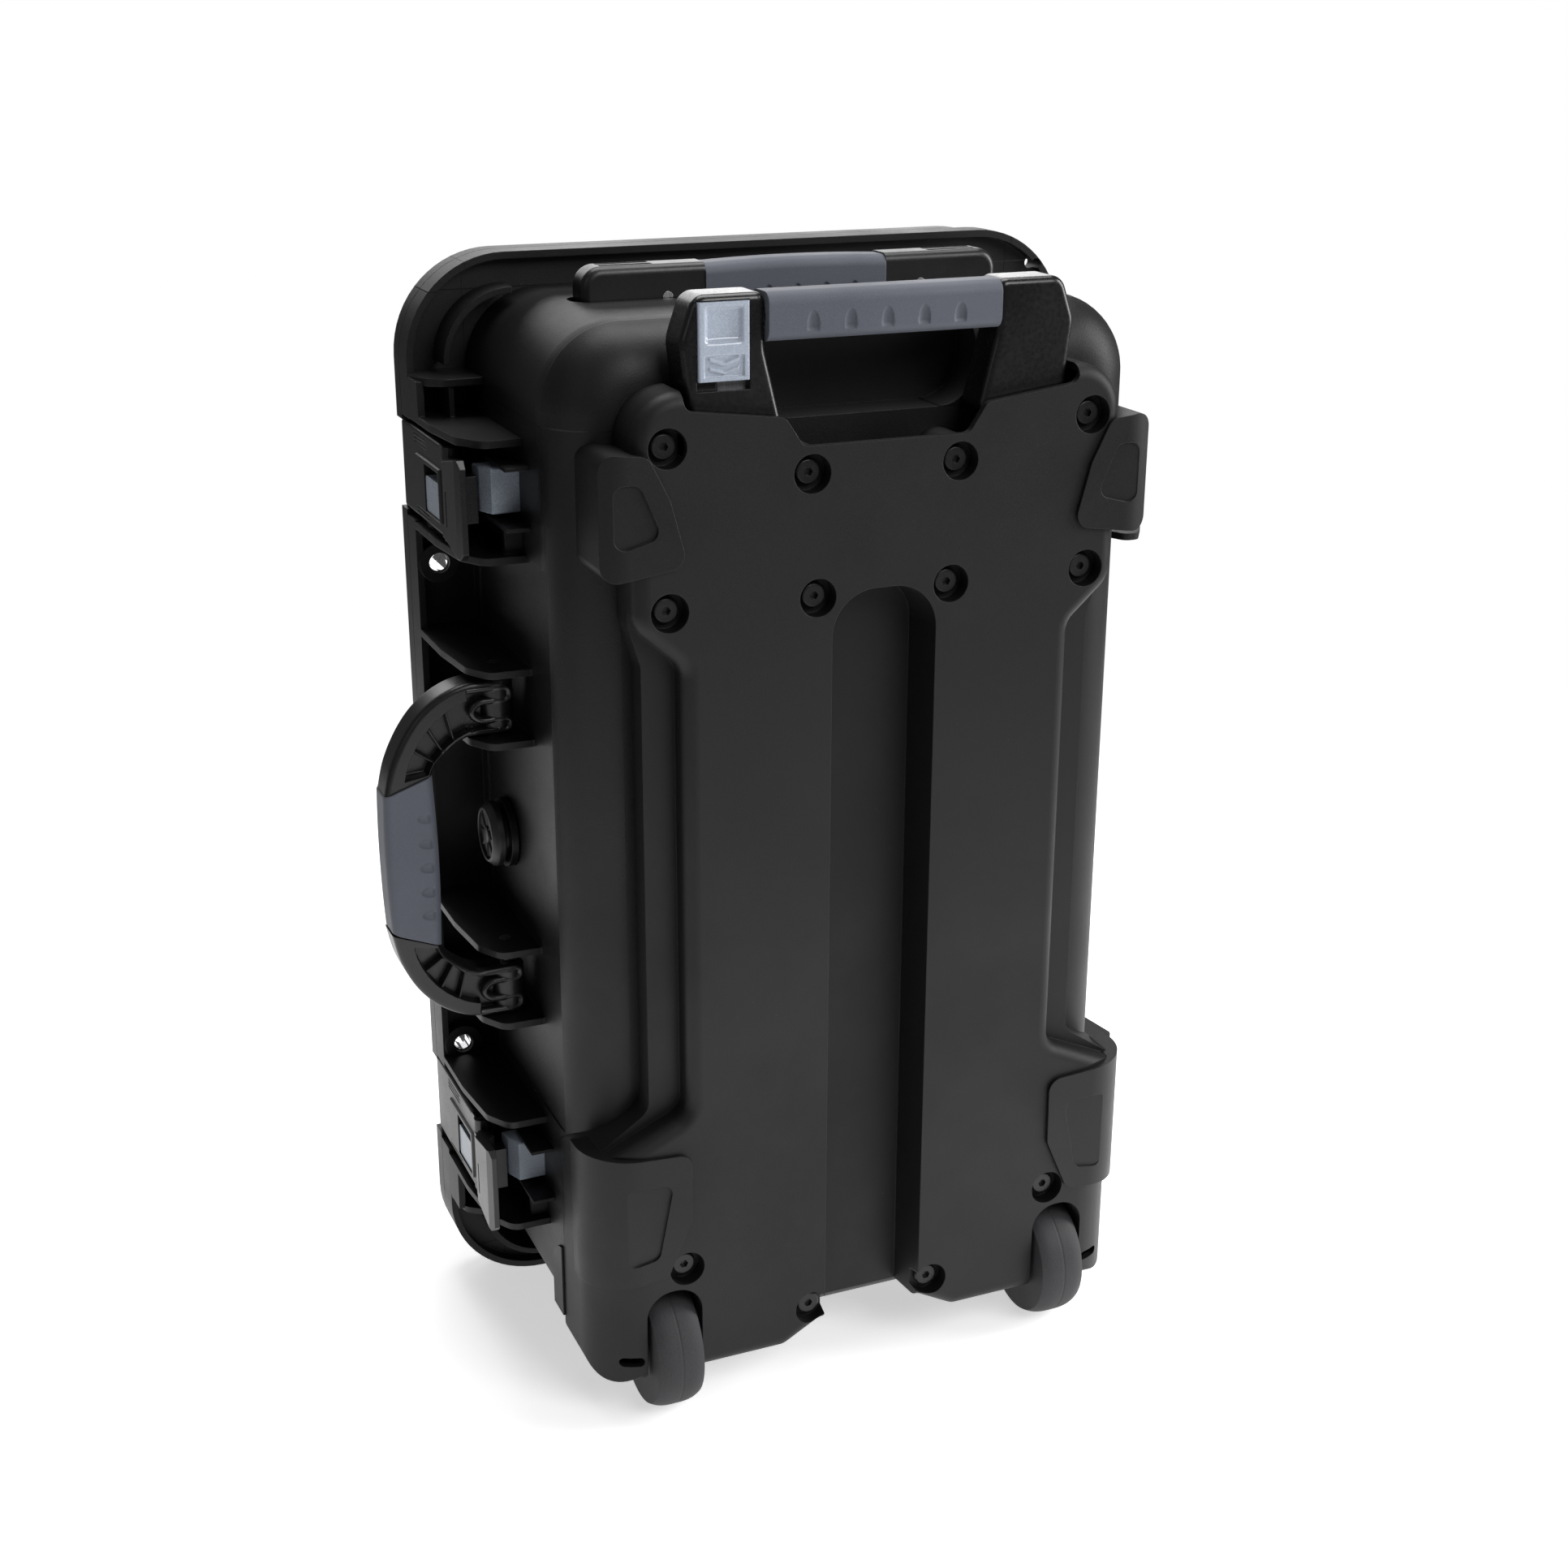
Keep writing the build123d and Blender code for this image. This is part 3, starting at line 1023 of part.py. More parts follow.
with BuildPart() as trolley_grip:
    with BuildSketch(at_x(-GRIP_LENGTH / 2)):
        with Locations((GRIP_Y, GRIP_Z)):
            RectangleRounded(GRIP_DEPTH, GRIP_HEIGHT, 9.0)
            Circle(6.0, mode=Mode.SUBTRACT)
    extrude(amount=GRIP_LENGTH)
finish(trolley_grip, "trolley_grip")

with BuildPart() as release_button:
    block(
        BUTTON_LOW_X, BUTTON_HIGH_X, LEG_FRONT_Y - 1.2, LEG_FRONT_Y + BUTTON_DEPTH - 1.0, BUTTON_LOW,
        BUTTON_TOP,
    )
    fillet(release_button.edges().filter_by(Axis.Y), 3.0)
    fillet(release_button.faces().sort_by(Axis.Y)[0].edges(), 0.8)
    # thumb scoop
    with BuildSketch(at_x(BUTTON_LOW_X + 3.0)):
        with Locations((LEG_FRONT_Y - 9.0, BUTTON_TOP - 12.0)):
            Circle(11.5)
    extrude(amount=BUTTON_HIGH_X - BUTTON_LOW_X - 6.0, mode=Mode.SUBTRACT)
    # two chevrons
    for step in range(2):
        z = BUTTON_LOW + 4.0 + 5.0 * step
        with BuildSketch(at_y(LEG_FRONT_Y - 0.6)):
            with BuildLine():
                mid = (BUTTON_LOW_X + BUTTON_HIGH_X) / 2
                Polyline(
                    (mid - 7, z + 3.0), (mid, z), (mid + 7, z + 3.0), (mid + 7, z + 5.0), (mid, z + 2.0),
                    (mid - 7, z + 5.0), (mid - 7, z + 3.0),
                )
            make_face()
        extrude(amount=5, mode=Mode.SUBTRACT)
finish(release_button, "release_button")

# ---- latches -------------------------------------------------------------------------------------------
LATCH_AXIS_Y = LID_LOW_Y + LID_FLANGE / 2
PLATE_IN_X = LATCH_AXIS_X
PLATE_OUT_X = PLATE_IN_X - LATCH_PLATE
WINDOW_LOW_Y, WINDOW_HIGH_Y = -1.0, 24.0
SLIDER_LOW, SLIDER_HIGH = -15.0, 3.0  # below and above the latch's centre
WINDOW_FRAME = 1.0  # how proud the window's frame stands
LEVER_END_Y = -50.0
EAR_WIDTH = 7.0
CLAW_HALF = 11.0
GROOVES_Y = (-17.0, -21.5, -26.0)
KEEPER_TOP_Y = -16.0
KEEPER_FACES = ((-165.5, KEEPER_TOP_Y), (-164.4, -23.5), (-161.0, -31.5))
KEEPER_LOW, KEEPER_HEIGHT = -6.5, 21.5
PADDLE_SIDE = (
    (-170.5, -17.0), (-177.5, -15.5), (-181.0, -22.0), (-181.5, -44.0), (-180.2, LEVER_END_Y),
    (-177.6, LEVER_END_Y), (-177.2, -44.0), (-176.5, -30.0), (-172.0, -24.0), (-170.5, -17.0),
)
PADDLE_HALF_WIDTHS = ((-10.0, 17.5), (-24.0, 18.6), (-40.0, 21.8), (-46.5, 22.8), (LEVER_END_Y, 19.6))


def latch(name, z):
    """Frame, lever, lock slider, two pins and the keeper of one latch, centred at height z."""
    low, high = z - LATCH_WIDTH / 2, z + LATCH_WIDTH / 2
    with BuildPart() as frame:
        block(PLATE_OUT_X, PLATE_IN_X, LEVER_AXIS_Y + LEVER_BARREL_R + 0.5, LATCH_AXIS_Y, low + 1, high - 1)
        fillet(frame.edges().filter_by(Axis.Y).group_by(Axis.X)[0], 2.0)
        # proud frame round the window
        with BuildSketch(at_x(PLATE_OUT_X + 1)):
            with BuildLine():
                Polyline(
                    (WINDOW_LOW_Y - 2.5, z + SLIDER_LOW - 1.5), (WINDOW_HIGH_Y + 16, z + SLIDER_LOW - 1.5),
                    (WINDOW_HIGH_Y + 16, z + SLIDER_HIGH + SLIDER_TRAVEL + 2.5),
                    (WINDOW_LOW_Y - 2.5, z + SLIDER_HIGH + SLIDER_TRAVEL + 2.5),
                    (WINDOW_LOW_Y - 2.5, z + SLIDER_LOW - 1.5),
                )
            make_face()
        extrude(amount=-1 - WINDOW_FRAME, taper=20)
        cylinder_z(LATCH_AXIS_X, LATCH_AXIS_Y, LATCH_BARREL_R, low + 1, high - 1)
        for ear_low in (low + 1, high - 1 - EAR_WIDTH):
            cylinder_z(LEVER_AXIS_X, LEVER_AXIS_Y, LEVER_BARREL_R, ear_low, ear_low + EAR_WIDTH)
            block(PLATE_OUT_X, PLATE_IN_X, LEVER_AXIS_Y, LEVER_AXIS_Y + 8, ear_low, ear_low + EAR_WIDTH)
        # grooved barrels above and below the window
        for barrel_z in (low + 3.8, high - 6.0):
            for step in (-1, 0, 1):
                block(
                    PLATE_OUT_X - 1, PLATE_OUT_X + 0.8, 22.0, 44.0, barrel_z + 1.9 * step - 0.4,
                    barrel_z + 1.9 * step + 0.4, Mode.SUBTRACT,
                )
        block(
            PLATE_OUT_X - 2, PLATE_IN_X + 1, WINDOW_LOW_Y, WINDOW_HIGH_Y, z + SLIDER_LOW,
            z + SLIDER_HIGH + SLIDER_TRAVEL, Mode.SUBTRACT,
        )
        cylinder_z(LATCH_AXIS_X, LATCH_AXIS_Y, LATCH_PIN_R + FIT, low - 5, high + 5, Mode.SUBTRACT)
        cylinder_z(LEVER_AXIS_X, LEVER_AXIS_Y, LEVER_PIN_R, low - 5, high + 5, Mode.SUBTRACT)
    finish(frame, f"{name}_latch_frame")
    with BuildPart() as paddle:
        with BuildSketch(at_z(low)):
            with BuildLine():
                Polyline(*PADDLE_SIDE)
            make_face()
        extrude(amount=LATCH_WIDTH)
        # the paddle is wider at its tip
        with BuildSketch(at_x(-190.0)):
            with BuildLine():
                below = [(y, z - half) for y, half in PADDLE_HALF_WIDTHS]
                above = [(y, z + half) for y, half in reversed(PADDLE_HALF_WIDTHS)]
                Polyline(*below, *above, below[0])
            make_face()
        extrude(amount=30.0, mode=Mode.INTERSECT)
    with BuildPart() as lever:
        inner_low, inner_high = low + 1 + EAR_WIDTH + GAP, high - 1 - EAR_WIDTH - GAP
        cylinder_z(LEVER_AXIS_X, LEVER_AXIS_Y, LEVER_BARREL_R, inner_low, inner_high)
        add(paddle.part)
        block(-178.0, -170.2, -19.0, LEVER_AXIS_Y, inner_low, inner_high)
        block(-172.5, -166.2, -27.0, -19.0, z - CLAW_HALF, z + CLAW_HALF)
        # grip grooves
        for groove_y in GROOVES_Y:
            block(-187.0, -180.2, groove_y - 0.8, groove_y + 0.8, z - 12, z + 5, Mode.SUBTRACT)
        cylinder_z(LEVER_AXIS_X, LEVER_AXIS_Y, LEVER_PIN_R + FIT, low - 5, high + 5, Mode.SUBTRACT)
    finish(lever, f"{name}_latch_lever")
    with BuildPart() as slider:
        block(
            PLATE_OUT_X - 0.4, PLATE_IN_X + 0.5, WINDOW_LOW_Y + GAP, WINDOW_HIGH_Y - GAP,
            z + SLIDER_LOW + GAP, z + SLIDER_HIGH - GAP,
        )
        fillet(slider.edges().filter_by(Axis.X), 2.0)
        block(
            PLATE_IN_X + GAP, PLATE_IN_X + 1.9, WINDOW_LOW_Y - 3, WINDOW_HIGH_Y + 3, z + SLIDER_LOW - 3,
            z + SLIDER_HIGH + 3,
        )
    finish(slider, f"{name}_lock_slider")
    with BuildPart() as hinge_pin:
        cylinder_z(LATCH_AXIS_X, LATCH_AXIS_Y, LATCH_PIN_R, z - 26, z + 26)
    finish(hinge_pin, f"{name}_latch_pin")
    with BuildPart() as lever_pin:
        cylinder_z(LEVER_AXIS_X, LEVER_AXIS_Y, LEVER_PIN_R, low + 1, high - 1)
    finish(lever_pin, f"{name}_lever_pin")
    with BuildPart() as keeper:
        with BuildSketch(at_z(z + KEEPER_LOW)):
            Polygon(*[(-SIDE_X, KEEPER_TOP_Y), *KEEPER_FACES, (-SIDE_X, KEEPER_FACES[-1][1])], align=None)
        extrude(amount=KEEPER_HEIGHT)
        chamfer(keeper.faces().filter_by(Axis.Z).edges(), 0.6)
    finish(keeper, f"{name}_keeper")


for name, z in zip(("upper", "lower"), LATCH_Z):
    latch(name, z)

# ---- padlock bushings, valve ---------------------------------------------------------------------------
for name, y_high, y_low in (
    ("tub_padlock_bushings", TUB_TOP_Y, PARTING_Y - 13.0),
    ("lid_padlock_bushings", LID_LOW_Y + LID_FLANGE, LID_LOW_Y),
):
    with BuildPart() as bushings:
        for offset_z in EYE_OFFSETS:
            cylinder_y(EYE_X, ZC + offset_z, EYE_BUSH_R, y_high, y_low)
            cylinder_y(EYE_X, ZC + offset_z, EYE_R, y_high + 1, y_low - 1, Mode.SUBTRACT)
    finish(bushings, name)

VALVE_Z = ZC + VALVE_OFFSET
WALL_IN_X = -SIDE_X + WALL
with BuildPart() as valve_body:
    cylinder_x(VALVE_Y, VALVE_Z, 17.5, -SIDE_X - 3.5, -SIDE_X)
    cylinder_x(VALVE_Y, VALVE_Z, 12.0, -SIDE_X - 6.0, -SIDE_X - 3.5)
    cylinder_x(VALVE_Y, VALVE_Z, VALVE_STEM_R, -SIDE_X - 1, WALL_IN_X + 6)
    cylinder_x(VALVE_Y, VALVE_Z, 2.0, -SIDE_X - 7, WALL_IN_X + 7, Mode.SUBTRACT)
finish(valve_body, "valve_body")

with BuildPart() as valve_cap:
    cylinder_x(VALVE_Y, VALVE_Z, 16.5, -SIDE_X - 12.5, -SIDE_X - 6.0)
    fillet(valve_cap.faces().sort_by(Axis.X)[0].edges(), 2.0)
    cylinder_x(VALVE_Y, VALVE_Z, 11.0, -SIDE_X - 14, -SIDE_X - 11.3, Mode.SUBTRACT)
    with BuildSketch(at_x(-SIDE_X - 13)):
        with Locations((VALVE_Y, VALVE_Z)):
            with PolarLocations(16.8, 24):
                Circle(0.9)
    extrude(amount=10, mode=Mode.SUBTRACT)
finish(valve_cap, "valve_cap")

with BuildPart() as valve_washer:
    cylinder_x(VALVE_Y, VALVE_Z, 13.0, WALL_IN_X, WALL_IN_X + 1.2)
    cylinder_x(VALVE_Y, VALVE_Z, VALVE_STEM_R, WALL_IN_X - 1, WALL_IN_X + 3, Mode.SUBTRACT)
finish(valve_washer, "valve_washer")

with BuildPart() as valve_nut:
    with BuildSketch(at_x(WALL_IN_X + 1.2)):
        with Locations((VALVE_Y, VALVE_Z)):
            RegularPolygon(14.0, 6)
            Circle(VALVE_STEM_R, mode=Mode.SUBTRACT)
    extrude(amount=4.0)
finish(valve_nut, "valve_nut")
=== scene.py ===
"""Looks of the wheeled hard case: its finishes, its studio and the detailed pieces over plain CAD nodes."""

import logging
import math
from dataclasses import dataclass, field
from enum import Enum
from typing import Callable, Sequence

import bpy
import numpy as np
from mathutils import Matrix, Vector


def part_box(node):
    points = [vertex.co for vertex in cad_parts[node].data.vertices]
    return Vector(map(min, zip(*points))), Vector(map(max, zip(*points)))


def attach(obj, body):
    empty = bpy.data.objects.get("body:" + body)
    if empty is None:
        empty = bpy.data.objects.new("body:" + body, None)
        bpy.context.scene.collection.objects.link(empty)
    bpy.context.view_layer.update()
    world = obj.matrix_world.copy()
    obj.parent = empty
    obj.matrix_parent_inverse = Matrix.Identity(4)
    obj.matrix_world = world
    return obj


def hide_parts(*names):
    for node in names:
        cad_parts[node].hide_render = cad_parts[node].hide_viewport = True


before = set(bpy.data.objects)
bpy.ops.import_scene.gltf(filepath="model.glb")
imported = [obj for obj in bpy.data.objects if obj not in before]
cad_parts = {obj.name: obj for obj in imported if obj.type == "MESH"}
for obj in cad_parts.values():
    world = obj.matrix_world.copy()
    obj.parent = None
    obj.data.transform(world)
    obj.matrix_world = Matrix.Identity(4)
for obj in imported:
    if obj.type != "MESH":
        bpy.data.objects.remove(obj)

LOG = logging.getLogger("hard_case")
MM = 0.001
SHARP_ANGLE = math.radians(38)
Array = np.ndarray
Colour = tuple[float, float, float]
Socket = bpy.types.NodeSocket
ShaderNode = bpy.types.Node


# ---- shared shader effects -----------------------------------------------------------------------


class Effect(Enum):
    """Shader node groups that several finishes share."""

    GRAIN = "moulded_grain"
    EDGES = "rounded_edges"
    HANDLING = "handling_marks"
    BRUSHED = "brushed_lines"


def new_group(name: str, inputs: Sequence[tuple[str, str, float]],
              outputs: Sequence[tuple[str, str]]) -> tuple[bpy.types.NodeTree, ShaderNode, ShaderNode]:
    """Starts a shader node group.

    Args:
        name: the group's name.
        inputs: (socket name, socket type, default) of each input.
        outputs: (socket name, socket type) of each output.

    Returns:
        The group, its input node and its output node.
    """
    group = bpy.data.node_groups.new(name, "ShaderNodeTree")
    for label, kind, default in inputs:
        group.interface.new_socket(label, in_out="INPUT", socket_type=kind).default_value = default
    for label, kind in outputs:
        group.interface.new_socket(label, in_out="OUTPUT", socket_type=kind)
    return group, group.nodes.new("NodeGroupInput"), group.nodes.new("NodeGroupOutput")


@dataclass
class Wiring:
    """Short ways of placing and joining nodes in one tree."""

    tree: bpy.types.NodeTree

    def node(self, kind: str, **values: object) -> ShaderNode:
        """Adds a node.

        Args:
            kind: Blender's name of the node's type.
            values: its plain properties.

        Returns:
            The node.
        """
        made = self.tree.nodes.new(kind)
        for key, value in values.items():
            setattr(made, key, value)
        return made

    def join(self, source: Socket, target: Socket) -> None:
        """Links one socket to another.

        Args:
            source: the output socket.
            target: the input socket.
        """
        self.tree.links.new(source, target)

    def feed(self, value: object, target: Socket) -> None:
        """Gives an input socket its value.

        Args:
            value: a socket to link or a plain value to set.
            target: the input socket.
        """
        if isinstance(value, Socket):
            self.join(value, target)
        else:
            target.default_value = value

    def math(self, operation: str, first: object, second: object = 0.0, clamp: bool = False) -> Socket:
        """Adds a Math node.

        Args:
            operation: Blender's name of the operation.
            first: a socket or a number.
            second: a socket or a number.
            clamp: whether the result stays between 0 and 1.

        Returns:
            The node's output socket.
        """
        made = self.node("ShaderNodeMath", operation=operation, use_clamp=clamp)
        self.feed(first, made.inputs[0])
        self.feed(second, made.inputs[1])
        return made.outputs[0]

    def noise(self, scale: object, detail: float, roughness: float, vector: Socket) -> Socket:
        """Adds a noise texture.

        Args:
            scale: a socket or a number.
            detail: how many finer layers are added.
            roughness: how strong the finer layers are.
            vector: where the noise is read.

        Returns:
            Its value, from 0 to 1.
        """
        made = self.node("ShaderNodeTexNoise")
        made.inputs["Detail"].default_value = detail
        made.inputs["Roughness"].default_value = roughness
        self.feed(scale, made.inputs["Scale"])
        self.join(vector, made.inputs["Vector"])
        return made.outputs[0]

    def spread(self, value: Socket, low: float, high: float) -> Socket:
        """Stretches low..high to 0..1 with soft ends.

        Args:
            value: the value to stretch.
            low: what becomes 0, with everything below it.
            high: what becomes 1, with everything above it.

        Returns:
            The stretched value.
        """
        made = self.node("ShaderNodeMapRange", interpolation_type="SMOOTHSTEP")
        self.join(value, made.inputs["Value"])
        made.inputs["From Min"].default_value = low
        made.inputs["From Max"].default_value = high
        return made.outputs["Result"]

    def blend(self, factor: Socket, first: object, second: object) -> Socket:
        """Mixes two colours.

        Args:
            factor: 0 gives the first and 1 the second.
            first: a socket or a plain colour.
            second: a socket or a plain colour.

        Returns:
            The mixed colour.
        """
        made = self.node("ShaderNodeMix", data_type="RGBA")
        self.join(factor, made.inputs["Factor"])
        for socket, value in ((made.inputs[6], first), (made.inputs[7], second)):
            self.feed(value if isinstance(value, Socket) else (*value, 1.0), socket)
        return made.outputs[2]

    def distance(self, vector: Socket) -> Socket:
        """Measures a vector.

        Args:
            vector: the vector.

        Returns:
            Its length.
        """
        made = self.node("ShaderNodeVectorMath", operation="LENGTH")
        self.join(vector, made.inputs[0])
        return made.outputs["Value"]

    def object_coordinates(self) -> Socket:
        """Reads where a point of the piece lies.

        Returns:
            The piece's own coordinates, in metres.
        """
        return self.node("ShaderNodeTexCoord").outputs["Object"]


def moulded_grain() -> bpy.types.NodeTree:
    """Spark-eroded mould texture: small soft cells of a Voronoi plus two octaves of finer noise.

    Returns:
        A group with Height, the relief from 0 to 1, and Shade, the same relief as a colour mask.
    """
    group, entry, leave = new_group(
        Effect.GRAIN.value,
        (("Scale", "NodeSocketFloat", 1400.0), ("Cells", "NodeSocketFloat", 0.5)),
        (("Height", "NodeSocketFloat"), ("Shade", "NodeSocketFloat")),
    )
    w = Wiring(group)
    place = w.object_coordinates()
    cells = w.node("ShaderNodeTexVoronoi", feature="SMOOTH_F1")
    cells.inputs["Smoothness"].default_value = 0.6
    w.join(place, cells.inputs["Vector"])
    w.join(entry.outputs["Scale"], cells.inputs["Scale"])
    fine = w.noise(w.math("MULTIPLY", entry.outputs["Scale"], 1.9), 2.0, 0.55, place)
    pits = w.math("MULTIPLY", cells.outputs["Distance"], entry.outputs["Cells"])
    rest = w.math("MULTIPLY", fine, w.math("SUBTRACT", 1.0, entry.outputs["Cells"]))
    height = w.math("ADD", pits, rest)
    w.join(height, leave.inputs["Height"])
    w.join(w.spread(height, 0.25, 0.7), leave.inputs["Shade"])
    return group


def rounded_edges() -> bpy.types.NodeTree:
    """Edges that catch light: the normal rounded over a radius, and a mask where it leaves the flat normal,
    which lightens the finishes' colour as wear and as a painted edge highlight.

    Returns:
        A group with Normal, the rounded normal, and the edge mask for wear and painted highlight, 1 along
        outer edges and broken up by noise.
    """
    group, entry, leave = new_group(
        Effect.EDGES.value,
        (("Radius", "NodeSocketFloat", 0.0006), ("Breakup", "NodeSocketFloat", 90.0)),
        (("Normal", "NodeSocketVector"), ("Wear_and_highlight", "NodeSocketFloat")),
    )
    w = Wiring(group)
    rounded = w.node("ShaderNodeBevel", samples=4)
    w.join(entry.outputs["Radius"], rounded.inputs["Radius"])
    flat = w.node("ShaderNodeNewGeometry")
    dot = w.node("ShaderNodeVectorMath", operation="DOT_PRODUCT")
    w.join(rounded.outputs[0], dot.inputs[0])
    w.join(flat.outputs["Normal"], dot.inputs[1])
    turned = w.math("SUBTRACT", 1.0, dot.outputs["Value"], clamp=True)
    patches = w.noise(entry.outputs["Breakup"], 4.0, 0.65, w.object_coordinates())
    # Edge mask that lightens the colour in every finish: partly wear, partly a painted highlight along the
    # edges.
    wear = w.math("MULTIPLY", w.spread(turned, 0.01, 0.16), w.spread(patches, 0.38, 0.72))
    w.join(rounded.outputs[0], leave.inputs["Normal"])
    w.join(wear, leave.inputs["Wear_and_highlight"])
    return group


def handling_marks() -> bpy.types.NodeTree:
    """Marks of use: broad smudges, fine dust specks and long faint scuffs.

    Returns:
        A group with Smudge, Dust and Scuff, each a mask from 0 to 1.
    """
    group, entry, leave = new_group(
        Effect.HANDLING.value,
        (("Scale", "NodeSocketFloat", 1.0),),
        (("Smudge", "NodeSocketFloat"), ("Dust", "NodeSocketFloat"), ("Scuff", "NodeSocketFloat")),
    )
    w = Wiring(group)
    place = w.object_coordinates()
    broad = w.noise(w.math("MULTIPLY", entry.outputs["Scale"], 9.0), 5.0, 0.6, place)
    w.join(w.spread(broad, 0.36, 0.68), leave.inputs["Smudge"])
    specks = w.node("ShaderNodeTexVoronoi", feature="F1")
    w.join(place, specks.inputs["Vector"])
    w.join(w.math("MULTIPLY", entry.outputs["Scale"], 260.0), specks.inputs["Scale"])
    sparse = w.spread(w.noise(w.math("MULTIPLY", entry.outputs["Scale"], 34.0), 3.0, 0.7, place), 0.55, 0.75)
    dots = w.math("SUBTRACT", 1.0, w.spread(specks.outputs["Distance"], 0.05, 0.16))
    w.join(w.math("MULTIPLY", dots, sparse), leave.inputs["Dust"])
    stretched = w.node("ShaderNodeMapping")
    stretched.inputs["Rotation"].default_value = (0.3, 0.5, 0.9)
    stretched.inputs["Scale"].default_value = (380.0, 14.0, 22.0)
    w.join(place, stretched.inputs["Vector"])
    lines = w.noise(1.0, 3.0, 0.7, stretched.outputs[0])
    w.join(w.math("MULTIPLY", w.spread(lines, 0.66, 0.78), w.spread(broad, 0.5, 0.7)), leave.inputs["Scuff"])
    return group


def brushed_lines() -> bpy.types.NodeTree:
    """Drawn or brushed metal: noise stretched along Z, so it runs in fine lines.

    Returns:
        A group with Height and Shade, both from 0 to 1.
    """
    group, entry, leave = new_group(
        Effect.BRUSHED.value,
        (("Scale", "NodeSocketFloat", 2200.0),),
        (("Height", "NodeSocketFloat"), ("Shade", "NodeSocketFloat")),
    )
    w = Wiring(group)
    long_way = w.node("ShaderNodeMapping")
    long_way.inputs["Scale"].default_value = (1.0, 1.0, 0.02)
    w.join(w.object_coordinates(), long_way.inputs["Vector"])
    lines = w.noise(entry.outputs["Scale"], 3.0, 0.6, long_way.outputs[0])
    w.join(lines, leave.inputs["Height"])
    w.join(w.spread(lines, 0.3, 0.7), leave.inputs["Shade"])
    return group


GROUP_MAKERS: dict[Effect, Callable[[], bpy.types.NodeTree]] = {
    Effect.GRAIN: moulded_grain,
    Effect.EDGES: rounded_edges,
    Effect.HANDLING: handling_marks,
    Effect.BRUSHED: brushed_lines,
}


def effect(w: Wiring, which: Effect, **values: float) -> bpy.types.Node:
    """Places a shared effect in a material, making its group at first use.

    Args:
        w: the material's wiring.
        which: the effect.
        values: the group's input values.

    Returns:
        The group node.
    """
    group = bpy.data.node_groups.get(which.value) or GROUP_MAKERS[which]()
    placed = w.node("ShaderNodeGroup", node_tree=group)
    for key, value in values.items():
        placed.inputs[key.capitalize()].default_value = value
    return placed


# ---- finishes ------------------------------------------------------------------------------------

